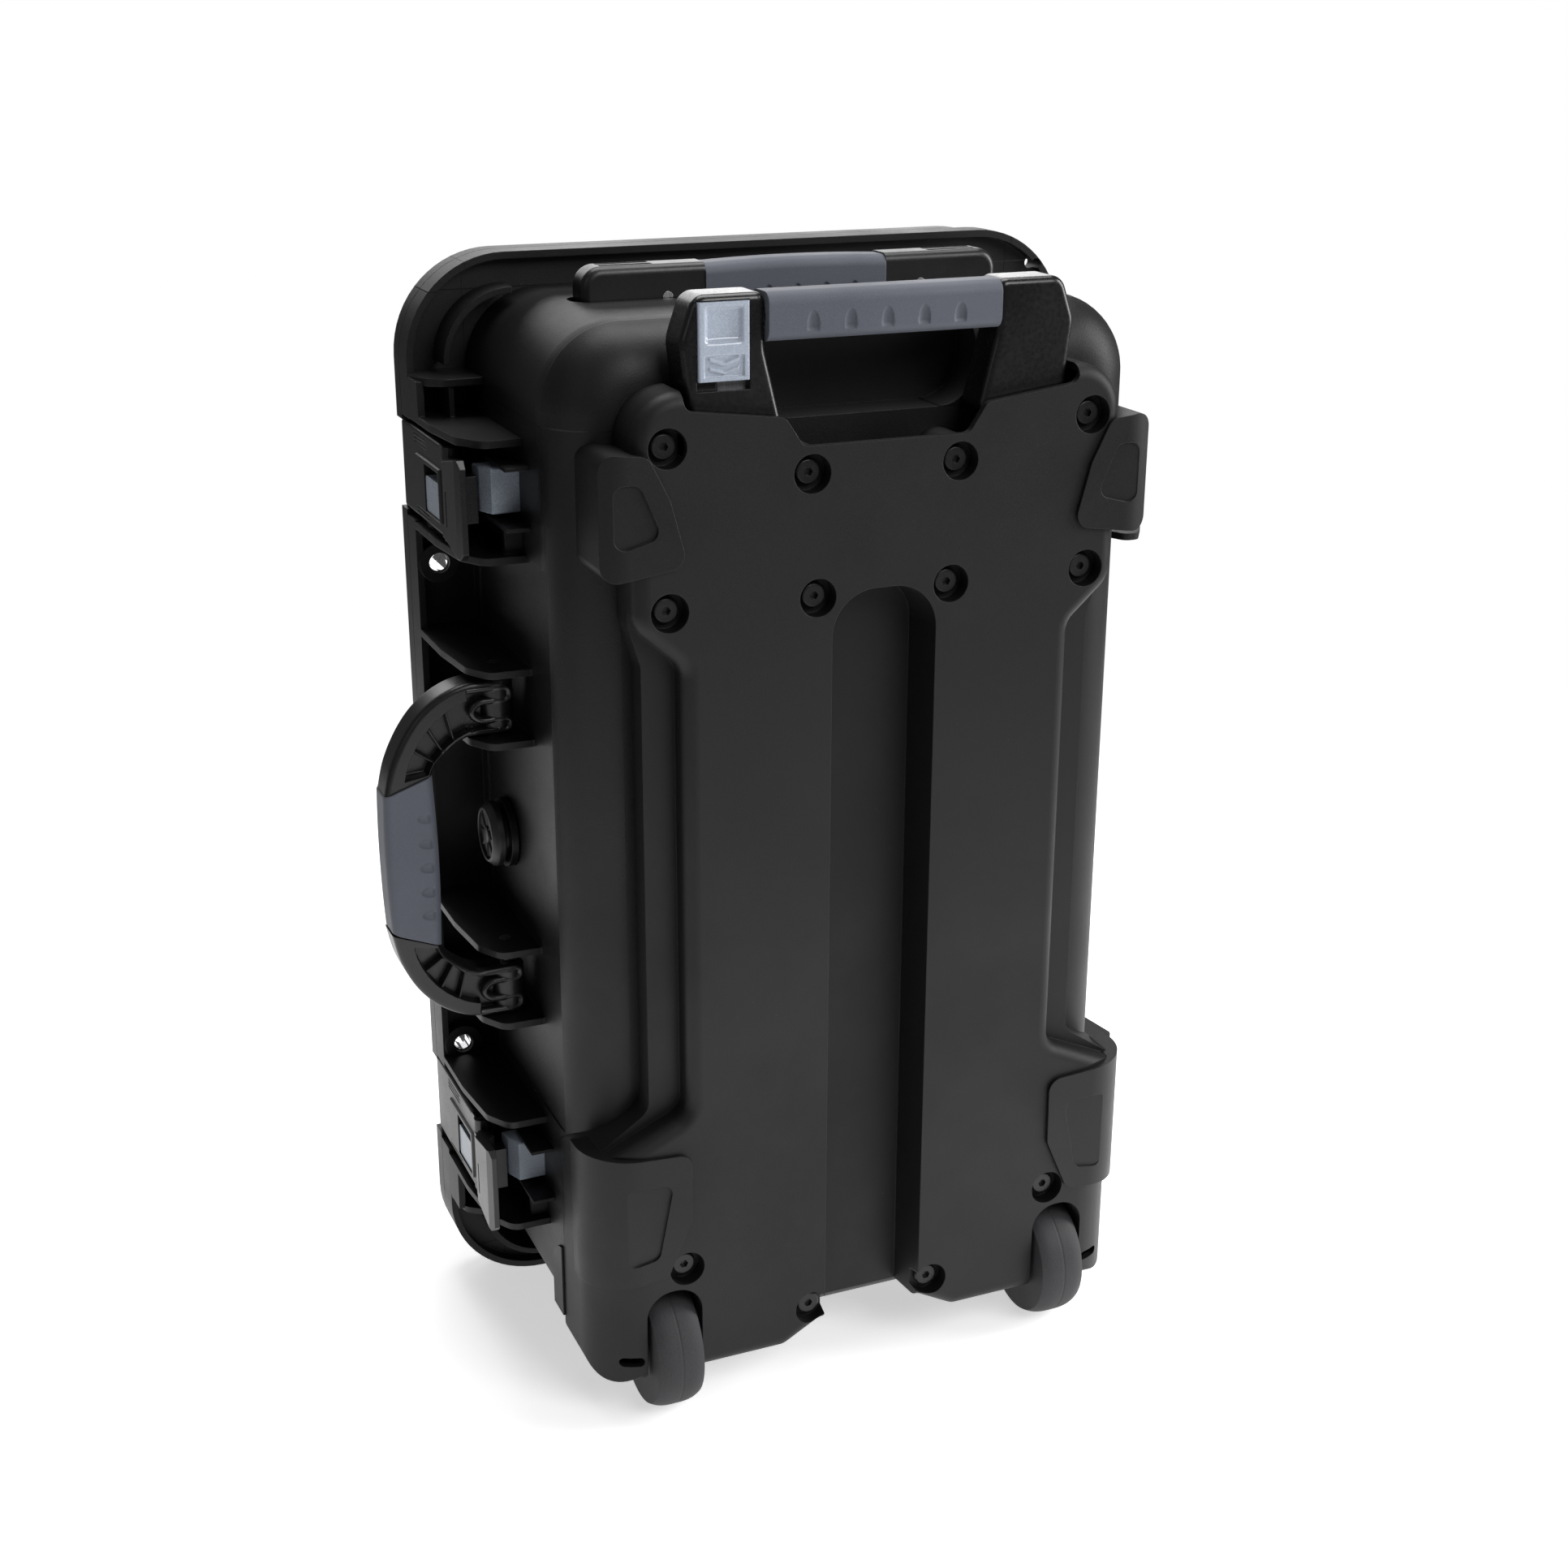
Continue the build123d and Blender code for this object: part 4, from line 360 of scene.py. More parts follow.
FADED_GAIN = 1.22
FADED_LIFT = 0.0015
SMUDGE_SHARE = 0.35
GRAIN_GLOSS_SHARE = 0.5
WORN_POLISH = 0.08
@dataclass(frozen=True)
class Finish:
    """One surface finish: colour, gloss, mould grain, edge wear with a painted edge highlight, and marks of
    use.
    """

    name: str
    slot: str
    colour: Colour
    # Colour along the edges: partly worn surface, partly a painted highlight.
    worn_and_highlit: Colour
    roughness: float = 0.5
    gloss_change: float = 0.12
    grain: float = 1400.0
    grain_cells: float = 0.55
    grain_depth: float = 0.00006
    grain_shade: float = 0.12
    edge: float = 0.0006
    # How strongly the edges take that colour, as wear and as painted highlight; it also sets their polish.
    wear: float = 0.3
    dust: float = 0.10
    dust_colour: Colour = (0.16, 0.155, 0.15)
    specular: float = 0.5
    metallic: float = 0.0
    coat: float = 0.0
    coat_roughness: float = 0.1
    sheen: float = 0.0
    relief: Effect = Effect.GRAIN

    def material(self) -> bpy.types.Material:
        """Makes the material, or returns it if it is made already.

        Returns:
            A material whose colour, roughness and normal come from the shared effects.
        """
        made = bpy.data.materials.get(self.name)
        if made:
            return made
        made = bpy.data.materials.new(self.name)
        made.use_nodes = True
        made.node_tree.nodes.clear()
        w = Wiring(made.node_tree)
        shader = w.node("ShaderNodeBsdfPrincipled")
        w.join(shader.outputs[0], w.node("ShaderNodeOutputMaterial").inputs[0])
        relief = effect(w, self.relief, scale=self.grain)
        if self.relief is Effect.GRAIN:
            relief.inputs["Cells"].default_value = self.grain_cells
        edges = effect(w, Effect.EDGES, radius=self.edge)
        marks = effect(w, Effect.HANDLING, scale=1.0)
        w.join(self._colour(w, relief, edges, marks), shader.inputs["Base Color"])
        w.join(self._roughness(w, relief, edges, marks), shader.inputs["Roughness"])
        bump = w.node("ShaderNodeBump")
        bump.inputs["Strength"].default_value = 1.0
        bump.inputs["Distance"].default_value = self.grain_depth
        w.join(relief.outputs["Height"], bump.inputs["Height"])
        w.join(edges.outputs["Normal"], bump.inputs["Normal"])
        w.join(bump.outputs[0], shader.inputs["Normal"])
        for socket, value in (
            ("Metallic", self.metallic),
            ("Specular IOR Level", self.specular),
            ("Coat Weight", self.coat),
            ("Coat Roughness", self.coat_roughness),
            ("Sheen Weight", self.sheen),
        ):
            shader.inputs[socket].default_value = value
        return made

    def _colour(self, w: Wiring, relief: ShaderNode, edges: ShaderNode, marks: ShaderNode) -> Socket:
        """Colours the finish: darker in the grain's pits, lighter along the edges as wear and as a painted
        highlight, with dust on top.

        Args:
            w: the material's wiring.
            relief: the grain or the brushed lines.
            edges: the rounded edges.
            marks: the handling marks.

        Returns:
            The base colour.
        """
        pits = tuple(c * (1.0 - self.grain_shade * 2) for c in self.colour)
        base = w.blend(relief.outputs["Shade"], pits, self.colour)
        faded = tuple(c * FADED_GAIN + FADED_LIFT for c in self.colour)
        base = w.blend(w.math("MULTIPLY", marks.outputs["Smudge"], SMUDGE_SHARE), base, faded)
        # Edges made lighter: partly wear, partly a painted highlight.
        base = w.blend(w.math("MULTIPLY", edges.outputs["Wear_and_highlight"], self.wear), base, self.worn_and_highlit)
        specks = w.math("MULTIPLY", marks.outputs["Dust"], self.dust)
        return w.blend(specks, base, self.dust_colour)

    def _roughness(self, w: Wiring, relief: ShaderNode, edges: ShaderNode, marks: ShaderNode) -> Socket:
        """Varies the gloss by smudges, scuffs, the grain and the polish of the rubbed edges.

        Args:
            w: the material's wiring.
            relief: the grain or the brushed lines.
            edges: the rounded edges.
            marks: the handling marks.

        Returns:
            The roughness.
        """
        smudge = w.math("MULTIPLY", marks.outputs["Smudge"], -self.gloss_change)
        scuff = w.math("MULTIPLY", marks.outputs["Scuff"], self.gloss_change)
        grainy = w.math("MULTIPLY", relief.outputs["Shade"], self.gloss_change * GRAIN_GLOSS_SHARE)
        polish = w.math("MULTIPLY", edges.outputs["Wear_and_highlight"], -WORN_POLISH * self.wear)
        total = w.math("ADD", w.math("ADD", smudge, scuff), w.math("ADD", grainy, polish))
        return w.math("ADD", total, self.roughness, clamp=True)


BODY = Finish("shell_charcoal", "body_plastic", (0.0056, 0.0055, 0.0060), (0.030, 0.030, 0.032),
              roughness=0.47, specular=0.32)
COVER = Finish("cover_charcoal", "body_plastic", (0.0062, 0.0060, 0.0066), (0.030, 0.030, 0.032),
               roughness=0.52, specular=0.32, grain=1700.0, grain_depth=0.00005)
INNER = Finish("inner_black", "inner_plastic", (0.020, 0.020, 0.021), (0.05, 0.05, 0.05), roughness=0.55)
HANDLE = Finish("handle_black", "handle_plastic", (0.0050, 0.0050, 0.0055), (0.028, 0.028, 0.030),
                roughness=0.38, grain_depth=0.00003)
GLOSS = Finish("leg_gloss_black", "gloss_plastic", (0.0050, 0.0050, 0.0056), (0.024, 0.024, 0.026),
               roughness=0.30, grain_depth=0.000004, grain=500.0, coat=0.1, coat_roughness=0.15, dust=0.15)
GRIP = Finish("grip_slate", "grip_rubber", (0.088, 0.096, 0.121), (0.12, 0.13, 0.15), roughness=0.62,
              grain=2200.0, grain_depth=0.00004, sheen=0.08, specular=0.4)
INSERT = Finish("insert_blue_grey", "latch_insert", (0.30, 0.34, 0.40), (0.42, 0.46, 0.52), roughness=0.36,
                grain_depth=0.00002, dust=0.2, coat=0.15)
BUTTON = Finish("button_clear_grey", "latch_insert", (0.43, 0.48, 0.57), (0.6, 0.65, 0.72), roughness=0.2,
                grain_depth=0.00001, coat=0.7, coat_roughness=0.06, dust=0.15)
SEAL = Finish("seal_black", "seal_rubber", (0.012, 0.012, 0.012), (0.02, 0.02, 0.02), roughness=0.7,
              specular=0.3)
TYRE = Finish("tyre_grey", "tyre_rubber", (0.036, 0.035, 0.038), (0.07, 0.07, 0.072), roughness=0.66,
              grain=900.0, grain_depth=0.0001, dust=0.5, specular=0.35)
HUB = Finish("hub_black", "hub_plastic", (0.018, 0.018, 0.019), (0.05, 0.05, 0.05), roughness=0.42)
STEEL = Finish("turned_steel", "steel", (0.52, 0.52, 0.53), (0.7, 0.7, 0.7), roughness=0.3, metallic=1.0,
               relief=Effect.BRUSHED, grain_depth=0.00001, edge=0.0002, dust=0.1)
BLACK_STEEL = Finish("oxide_steel", "black_steel", (0.012, 0.012, 0.013), (0.12, 0.12, 0.12), roughness=0.36,
                     grain_depth=0.00002, edge=0.0003, metallic=0.2)
CHROME = Finish("plated_steel", "chrome_steel", (0.78, 0.78, 0.79), (0.85, 0.85, 0.85), roughness=0.1,
                metallic=1.0, relief=Effect.BRUSHED, grain_depth=0.000004, edge=0.0003, dust=0.05)
ANODISED = Finish("anodised_tube", "tube_aluminium", (0.30, 0.30, 0.32), (0.45, 0.45, 0.46), roughness=0.32,
                  metallic=1.0, relief=Effect.BRUSHED, grain_depth=0.00001, edge=0.0003)

SLOT_FINISH: dict[str, Finish] = {
    f.slot: f
    for f in (BODY, INNER, HANDLE, GLOSS, GRIP, INSERT, SEAL, TYRE, HUB, STEEL, BLACK_STEEL, CHROME, ANODISED)
}
NODE_FINISH: dict[str, Finish] = {"trolley_cover": COVER, "release_button": BUTTON, "pull_rods": BLACK_STEEL}


# ---- studio --------------------------------------------------------------------------------------


@dataclass
class SoftBox:
    """One large soft light."""

    name: str
    place: tuple[float, float, float]
    size: tuple[float, float]
    power: float

    def build(self, target: Vector) -> None:
        """Makes the light and turns it towards a target.

        Args:
            target: the point it faces.
        """
        lamp = bpy.data.lights.new(self.name, "AREA")
        lamp.shape = "RECTANGLE"
        lamp.size, lamp.size_y = self.size
        lamp.energy = self.power
        holder = bpy.data.objects.new(self.name, lamp)
        bpy.context.scene.collection.objects.link(holder)
        holder.location = self.place
        holder.rotation_euler = (target - Vector(self.place)).to_track_quat("-Z", "Y").to_euler()


@dataclass
class Studio:
    """White table, soft boxes and the camera."""

    target: tuple[float, float, float] = (-0.0001, 0.0025, 0.2850)
    azimuth: float = 23.26
    elevation: float = 20.05
    distance: float = 1.1763
    roll: float = 0.21
    lens: float = 51.54
    sensor_width: float = 36.0
    clip: tuple[float, float] = (0.01, 50.0)
    ambient: float = 0.10
    floor_glow: float = 0.55
    floor_half: float = 1.15
    floor_sink: float = 0.0004
    rim_from: float = 0.6
    rim_to: float = 1.1
    boxes: list[SoftBox] = field(
        default_factory=lambda: [
            SoftBox("key_front", (0.7, -2.0, 1.9), (1.4, 1.1), 30.0),
            SoftBox("top", (0.2, 0.4, 2.3), (1.6, 1.4), 36.0),
            SoftBox("fill_left", (-1.9, -1.2, 1.5), (0.5, 1.4), 2.0),
            SoftBox("fill_right", (2.0, -0.7, 1.0), (0.9, 1.6), 38.0),
            SoftBox("back", (0.4, 2.0, 1.2), (2.0, 1.0), 16.0),
        ]
    )

    def camera(self) -> None:
        """Places the camera on a sphere round the target, with a slight roll."""
        az, el, roll = (math.radians(a) for a in (self.azimuth, self.elevation, self.roll))
        ahead = Vector((math.sin(az) * math.cos(el), math.cos(az) * math.cos(el), -math.sin(el)))
        right = ahead.cross(Vector((0, 0, 1))).normalized()
        up = right.cross(ahead).normalized()
        turned = right * math.cos(roll) + up * math.sin(roll)
        lifted = turned.cross(ahead).normalized()
        lens = bpy.data.cameras.new("product_camera")
        lens.lens, lens.sensor_width = self.lens, self.sensor_width
        lens.clip_start, lens.clip_end = self.clip
        holder = bpy.data.objects.new("product_camera", lens)
        bpy.context.scene.collection.objects.link(holder)
        turn = Matrix((turned, lifted, -ahead)).transposed().to_4x4()
        holder.matrix_world = Matrix.Translation(Vector(self.target) - ahead * self.distance) @ turn
        bpy.context.scene.camera = holder

    def table(self) -> None:
        """A white floor that glows towards its rim, so that it meets the white surroundings unseen."""
        half = self.floor_half
        corners = np.array([(-half, -half, 0), (half, -half, 0), (half, half, 0), (-half, half, 0)], float)
        floor = mesh_object("floor", corners - (0, 0, self.floor_sink), np.array([(0, 1, 2, 3)]), None)
        paint = bpy.data.materials.new("floor_white")
        paint.use_nodes = True
        w = Wiring(paint.node_tree)
        shader = paint.node_tree.nodes["Principled BSDF"]
        shader.inputs["Roughness"].default_value = 0.7
        shader.inputs["Specular IOR Level"].default_value = 0.2
        far = w.spread(w.distance(w.object_coordinates()), self.rim_from, self.rim_to)
        w.join(w.blend(far, (0.9, 0.9, 0.9), (0.0, 0.0, 0.0)), shader.inputs["Base Color"])
        shader.inputs["Emission Color"].default_value = (1.0, 1.0, 1.0, 1.0)
        glow = w.math("ADD", w.math("MULTIPLY", far, 1.0 - self.floor_glow), self.floor_glow)
        w.join(glow, shader.inputs["Emission Strength"])
        floor.data.materials.append(paint)

    def surroundings(self) -> None:
        """White all round: full white to the camera and a softer white as light."""
        world = bpy.data.worlds.new("white_room")
        world.use_nodes = True
        bpy.context.scene.world = world
        w = Wiring(world.node_tree)
        backdrop = world.node_tree.nodes["Background"]
        backdrop.inputs["Color"].default_value = (1.0, 1.0, 1.0, 1.0)
        seen = w.node("ShaderNodeLightPath")
        to_camera = w.math("MULTIPLY", seen.outputs["Is Camera Ray"], 1.0 - self.ambient)
        w.join(w.math("ADD", to_camera, self.ambient), backdrop.inputs["Strength"])
        bpy.context.scene.view_settings.view_transform = "Standard"

    def build(self) -> None:
        """Makes the whole studio."""
        self.camera()
        self.table()
        self.surroundings()
        for box in self.boxes:
            box.build(Vector(self.target))


# ---- meshes --------------------------------------------------------------------------------------


def mesh_object(name: str, points: Array, faces: Array | list, finish: Finish | None) -> bpy.types.Object:
    """Makes a mesh object from arrays.

    Args:
        name: the object's name.
        points: vertex places, in metres, one row each.
        faces: vertex numbers of each face.
        finish: the finish it is dressed in, or None.

    Returns:
        The object, at the origin, smooth shaded.
    """
    mesh = bpy.data.meshes.new(name)
    mesh.from_pydata(points.tolist(), [], [list(map(int, f)) for f in faces])
    mesh.validate()
    mesh.polygons.foreach_set("use_smooth", np.ones(len(mesh.polygons), bool))
    made = bpy.data.objects.new(name, mesh)
    bpy.context.scene.collection.objects.link(made)
    if finish:
        mesh.materials.append(finish.material())
    return made


# ---- surfaces ------------------------------------------------------------------------------------


Stations = Sequence[tuple[float, float]]


@dataclass
class Skin:
    """A closed surface: points in millimetres with four-sided and three-sided faces."""

    points: Array
    quads: Array
    tris: Array

    @staticmethod
    def joined(parts: Sequence["Skin"]) -> "Skin":
        """Puts several skins into one.

        Args:
            parts: the skins.

        Returns:
            One skin with every part's points and faces.
        """
        starts = np.cumsum([0] + [len(p.points) for p in parts[:-1]])
        return Skin(
            np.concatenate([p.points for p in parts]),
            np.concatenate([p.quads + s for p, s in zip(parts, starts)]),
            np.concatenate([p.tris + s for p, s in zip(parts, starts)]),
        )

    def outward(self) -> "Skin":
        """Turns the faces over if the volume they enclose comes out negative.

        Returns:
            The same skin, facing outwards.
        """
        halves = np.concatenate((self.quads[:, :3], self.quads[:, [0, 2, 3]], self.tris))
        a, b, c = (self.points[halves[:, k]] for k in range(3))
        if np.einsum("ij,ij->i", a, np.cross(b, c)).sum() < 0:
            return Skin(self.points, self.quads[:, ::-1], self.tris[:, ::-1])
        return self


def smooth_curve(stations: Stations, samples: int) -> Array:
    """Runs a curve through stations.

    Between two stations the place is half of 2 p1 + (p2 - p0) t + (2 p0 - 5 p1 + 4 p2 - p3) t^2
    + (3 p1 - p0 - 3 p2 + p3) t^3, where p0 to p3 are the four nearest stations.

    Args:
        stations: the places it runs through.
        samples: how many points are returned.

    Returns:
        The points, one row each.
    """
    p = np.asarray(stations, float)
    t = np.linspace(0.0, len(p) - 1.0, samples)
    i = np.minimum(t.astype(int), len(p) - 2)
    t = (t - i)[:, None]
    p0, p1, p2, p3 = (p[np.clip(i + k, 0, len(p) - 1)] for k in (-1, 0, 1, 2))
    slope, bend, twist = p2 - p0, 2 * p0 - 5 * p1 + 4 * p2 - p3, 3 * p1 - p0 - 3 * p2 + p3
    return 0.5 * (2 * p1 + slope * t + bend * t**2 + twist * t**3)


def step(x: Array, low: float, high: float, soft: float) -> Array:
    """A mask that is 1 between low and high and eases to 0 at each end by 3 t^2 - 2 t^3.

    Args:
        x: where it is read.
        low: where it starts to rise from 0.
        high: where it is back at 0.
        soft: over what length each end eases.

    Returns:
        The mask, from 0 to 1.
    """
    t = np.clip(np.minimum(x - low, high - x) / soft, 0.0, 1.0)
    return t * t * (3 - 2 * t)


def closed_rings(grid: Array, loop: bool = False) -> Skin:
    """Faces over a grid of rings, each closed on itself.

    Args:
        grid: ring by point by coordinate.
        loop: whether the last ring joins the first; otherwise a fan closes each end.

    Returns:
        The closed skin.
    """
    rings, around = grid.shape[:2]
    ids = np.arange(rings * around).reshape(rings, around)
    ahead = np.roll(ids, -1, axis=1)
    stop = rings if loop else rings - 1
    a, b, c, d = ids, ahead, np.roll(ahead, -1, axis=0), np.roll(ids, -1, axis=0)
    quads = np.stack([k[:stop] for k in (a, b, c, d)], -1).reshape(-1, 4)
    points = grid.reshape(-1, 3)
    if loop:
        return Skin(points, quads, np.zeros((0, 3), int)).outward()
    first, last = len(points), len(points) + 1
    tris = np.concatenate((
        np.stack((ahead[0], ids[0], np.full(around, first)), -1),
        np.stack((ids[-1], ahead[-1], np.full(around, last)), -1),
    ))
    return Skin(np.concatenate((points, grid[[0, -1]].mean(axis=1))), quads, tris).outward()


def rounded_section(face: int, edge: int, corner: int) -> tuple[Array, Array]:
    """Goes once round a rounded rectangle, starting along its front.

    A point of the section is core times (half size less radius) plus direction times radius.

    Args:
        face: points along the front and the back.
        edge: points along each side.
        corner: points inside each corner.

    Returns:
        The cores and the directions, one row for each point.
    """
    corners = np.array([(-1, -1), (1, -1), (1, 1), (-1, 1)], float)
    cores, ways = [], []
    for k, count in enumerate((face, edge, face // 2, edge)):
        start, end, turn = corners[k], corners[(k + 1) % 4], (k - 1) * math.pi / 2
        swing = turn + np.linspace(0, math.pi / 2, corner + 2)[1:-1]
        cores += [np.linspace(start, end, count), np.tile(end, (corner, 1))]
        ways += [np.tile((round(math.cos(turn)), round(math.sin(turn))), (count, 1)),
                 np.stack((np.cos(swing), np.sin(swing)), -1)]
    return np.concatenate(cores), np.concatenate(ways)


@dataclass
class Ribbon:
    """A bar whose outer and inner edges are curves in a plane that faces the front."""

    outer: Stations
    inner: Stations
    centre_y: float
    half_depth: float
    radius: float
    rings: int = 160
    face: int = 60
    edge: int = 10
    corner: int = 5
    relief: Callable[[Array, Array, Array, Array], Array] | None = None

    def skin(self) -> Skin:
        """Shapes the bar.

        The middle line is the mean of the two edges and the half width is half of what parts them. A
        section point lies at middle + half width * (core across) and centre_y + half_depth * (core
        deep), both rounded by radius; the relief sinks the front face towards the back.

        Returns:
            The closed bar.
        """
        outer, inner = smooth_curve(self.outer, self.rings), smooth_curve(self.inner, self.rings)
        middle, half = (outer + inner) / 2, (outer - inner) / 2
        width = np.linalg.norm(half, axis=1)[:, None]
        core, way = rounded_section(self.face, self.edge, self.corner)
        across = core[:, 0] * (width - self.radius) + way[:, 0] * self.radius
        place = middle[:, None] + (half / width)[:, None] * across[..., None]
        y = self.centre_y + core[:, 1] * (self.half_depth - self.radius) + way[:, 1] * self.radius
        y = y + 0 * across
        if self.relief:
            u = np.linspace(0, 1, self.rings)[:, None] + 0 * across
            sunk = self.relief(u, across / width, place[..., 0], place[..., 1])
            y = y + sunk * ((way[:, 1] == -1) & (core[:, 1] == -1))
        return closed_rings(np.stack((place[..., 0], y, place[..., 1]), -1))


def tube(path: Stations, centre_y: float, wide: float, deep: float, rings: int = 90,
         around: int = 16) -> Skin:
    """A round bar bent in the plane that faces the front.

    Each ring is an ellipse: path + normal * wide * cos(a) in the plane, centre_y + deep * sin(a) in depth.

    Args:
        path: stations of its middle line.
        centre_y: where the middle line lies in depth.
        wide: half its width in the plane.
        deep: half its depth.
        rings: rings along it.
        around: points round each ring.

    Returns:
        The closed bar.
    """
    line = smooth_curve(path, rings)
    ahead = np.gradient(line, axis=0)
    normal = np.stack((-ahead[:, 1], ahead[:, 0]), -1) / np.linalg.norm(ahead, axis=1)[:, None]
    angle = np.linspace(0, 2 * math.pi, around, endpoint=False)
    place = line[:, None] + normal[:, None] * (wide * np.cos(angle))[:, None]
    x, z = place[..., 0], place[..., 1]
    return closed_rings(np.stack((x, centre_y + deep * np.sin(angle) + 0 * x, z), -1))


def lathe(profile: Stations, place: tuple[float, float, float], axis: int, around: int = 72,
          ribs: Callable[[Array, Array], Array] | None = None, loop: bool = False) -> Skin:
    """A turned shape: each profile point (radius, along) goes round the axis through place.

    Args:
        profile: radius and place along the axis, in order.
        place: a point on the axis.
        axis: 0 for X or 2 for Z.
        around: points round the axis.
        ribs: extra distance along the axis from radius and angle.
        loop: whether the profile closes on itself, as a tyre's does.

    Returns:
        The closed skin.
    """
    r, along = np.asarray(profile, float).T[:, :, None]
    angle = np.linspace(0, 2 * math.pi, around, endpoint=False)[None]
    shift = ribs(r, angle) if ribs else 0.0
    parts = (along + shift + 0 * angle, r * np.cos(angle), r * np.sin(angle))
    order = {0: (0, 1, 2), 2: (1, 2, 0)}[axis]
    return closed_rings(np.stack([parts[k] for k in order], -1) + np.asarray(place, float), loop)


def box_mm(node: str) -> tuple[Array, Array]:
    """Reads a CAD node's box.

    Args:
        node: the node's name.

    Returns:
        Its low corner and its high corner, in millimetres.
    """
    low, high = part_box(node)
    return np.array(low) / MM, np.array(high) / MM


def make_piece(name: str, parts: Sequence[Skin], finish: Finish, body: str,
               nodes: Sequence[str]) -> bpy.types.Object:
    """Makes a detailed piece, sets it on its body and hides the CAD nodes it stands for.

    Args:
        name: the object's name.
        parts: its closed skins, in millimetres.
        finish: the finish it wears.
        body: the CAD body it moves with.
        nodes: the CAD nodes it stands for.

    Returns:
        The object.
    """
    skin = Skin.joined(parts)
    made = mesh_object(name, skin.points * MM, skin.quads.tolist() + skin.tris.tolist(), finish)
    made.data.set_sharp_from_angle(angle=SHARP_ANGLE)
    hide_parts(*nodes)
    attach(made, body)
    return made


# ---- detailed pieces -----------------------------------------------------------------------------


@dataclass
class GripDents:
    """The row of small sunken ovals along a grip."""

    along: tuple[float, ...]
    level: float
    upright: bool = False
    half_along: float = 2.9
    half_across: float = 6.6
    depth: float = 1.3

    def __call__(self, u: Array, w: Array, x: Array, z: Array) -> Array:
        """Sinks each oval by depth * (1 - q)^(1/2), where q is the squared distance in oval units.

        Args:
            u: how far along the grip, which the ovals don't need.
            w: how far across it, which they don't need either.
            x: places along X, in millimetres.
            z: places along Z, in millimetres.

        Returns:
            The depth at each point, in millimetres.
        """
        run, rise = (z, x) if self.upright else (x, z)
        sideways = ((rise - self.level) / self.half_across) ** 2
        q = [((run - a) / self.half_along) ** 2 + sideways for a in self.along]
        return self.depth * np.sqrt(np.clip(1.0 - np.min(q, axis=0), 0.0, 1.0))


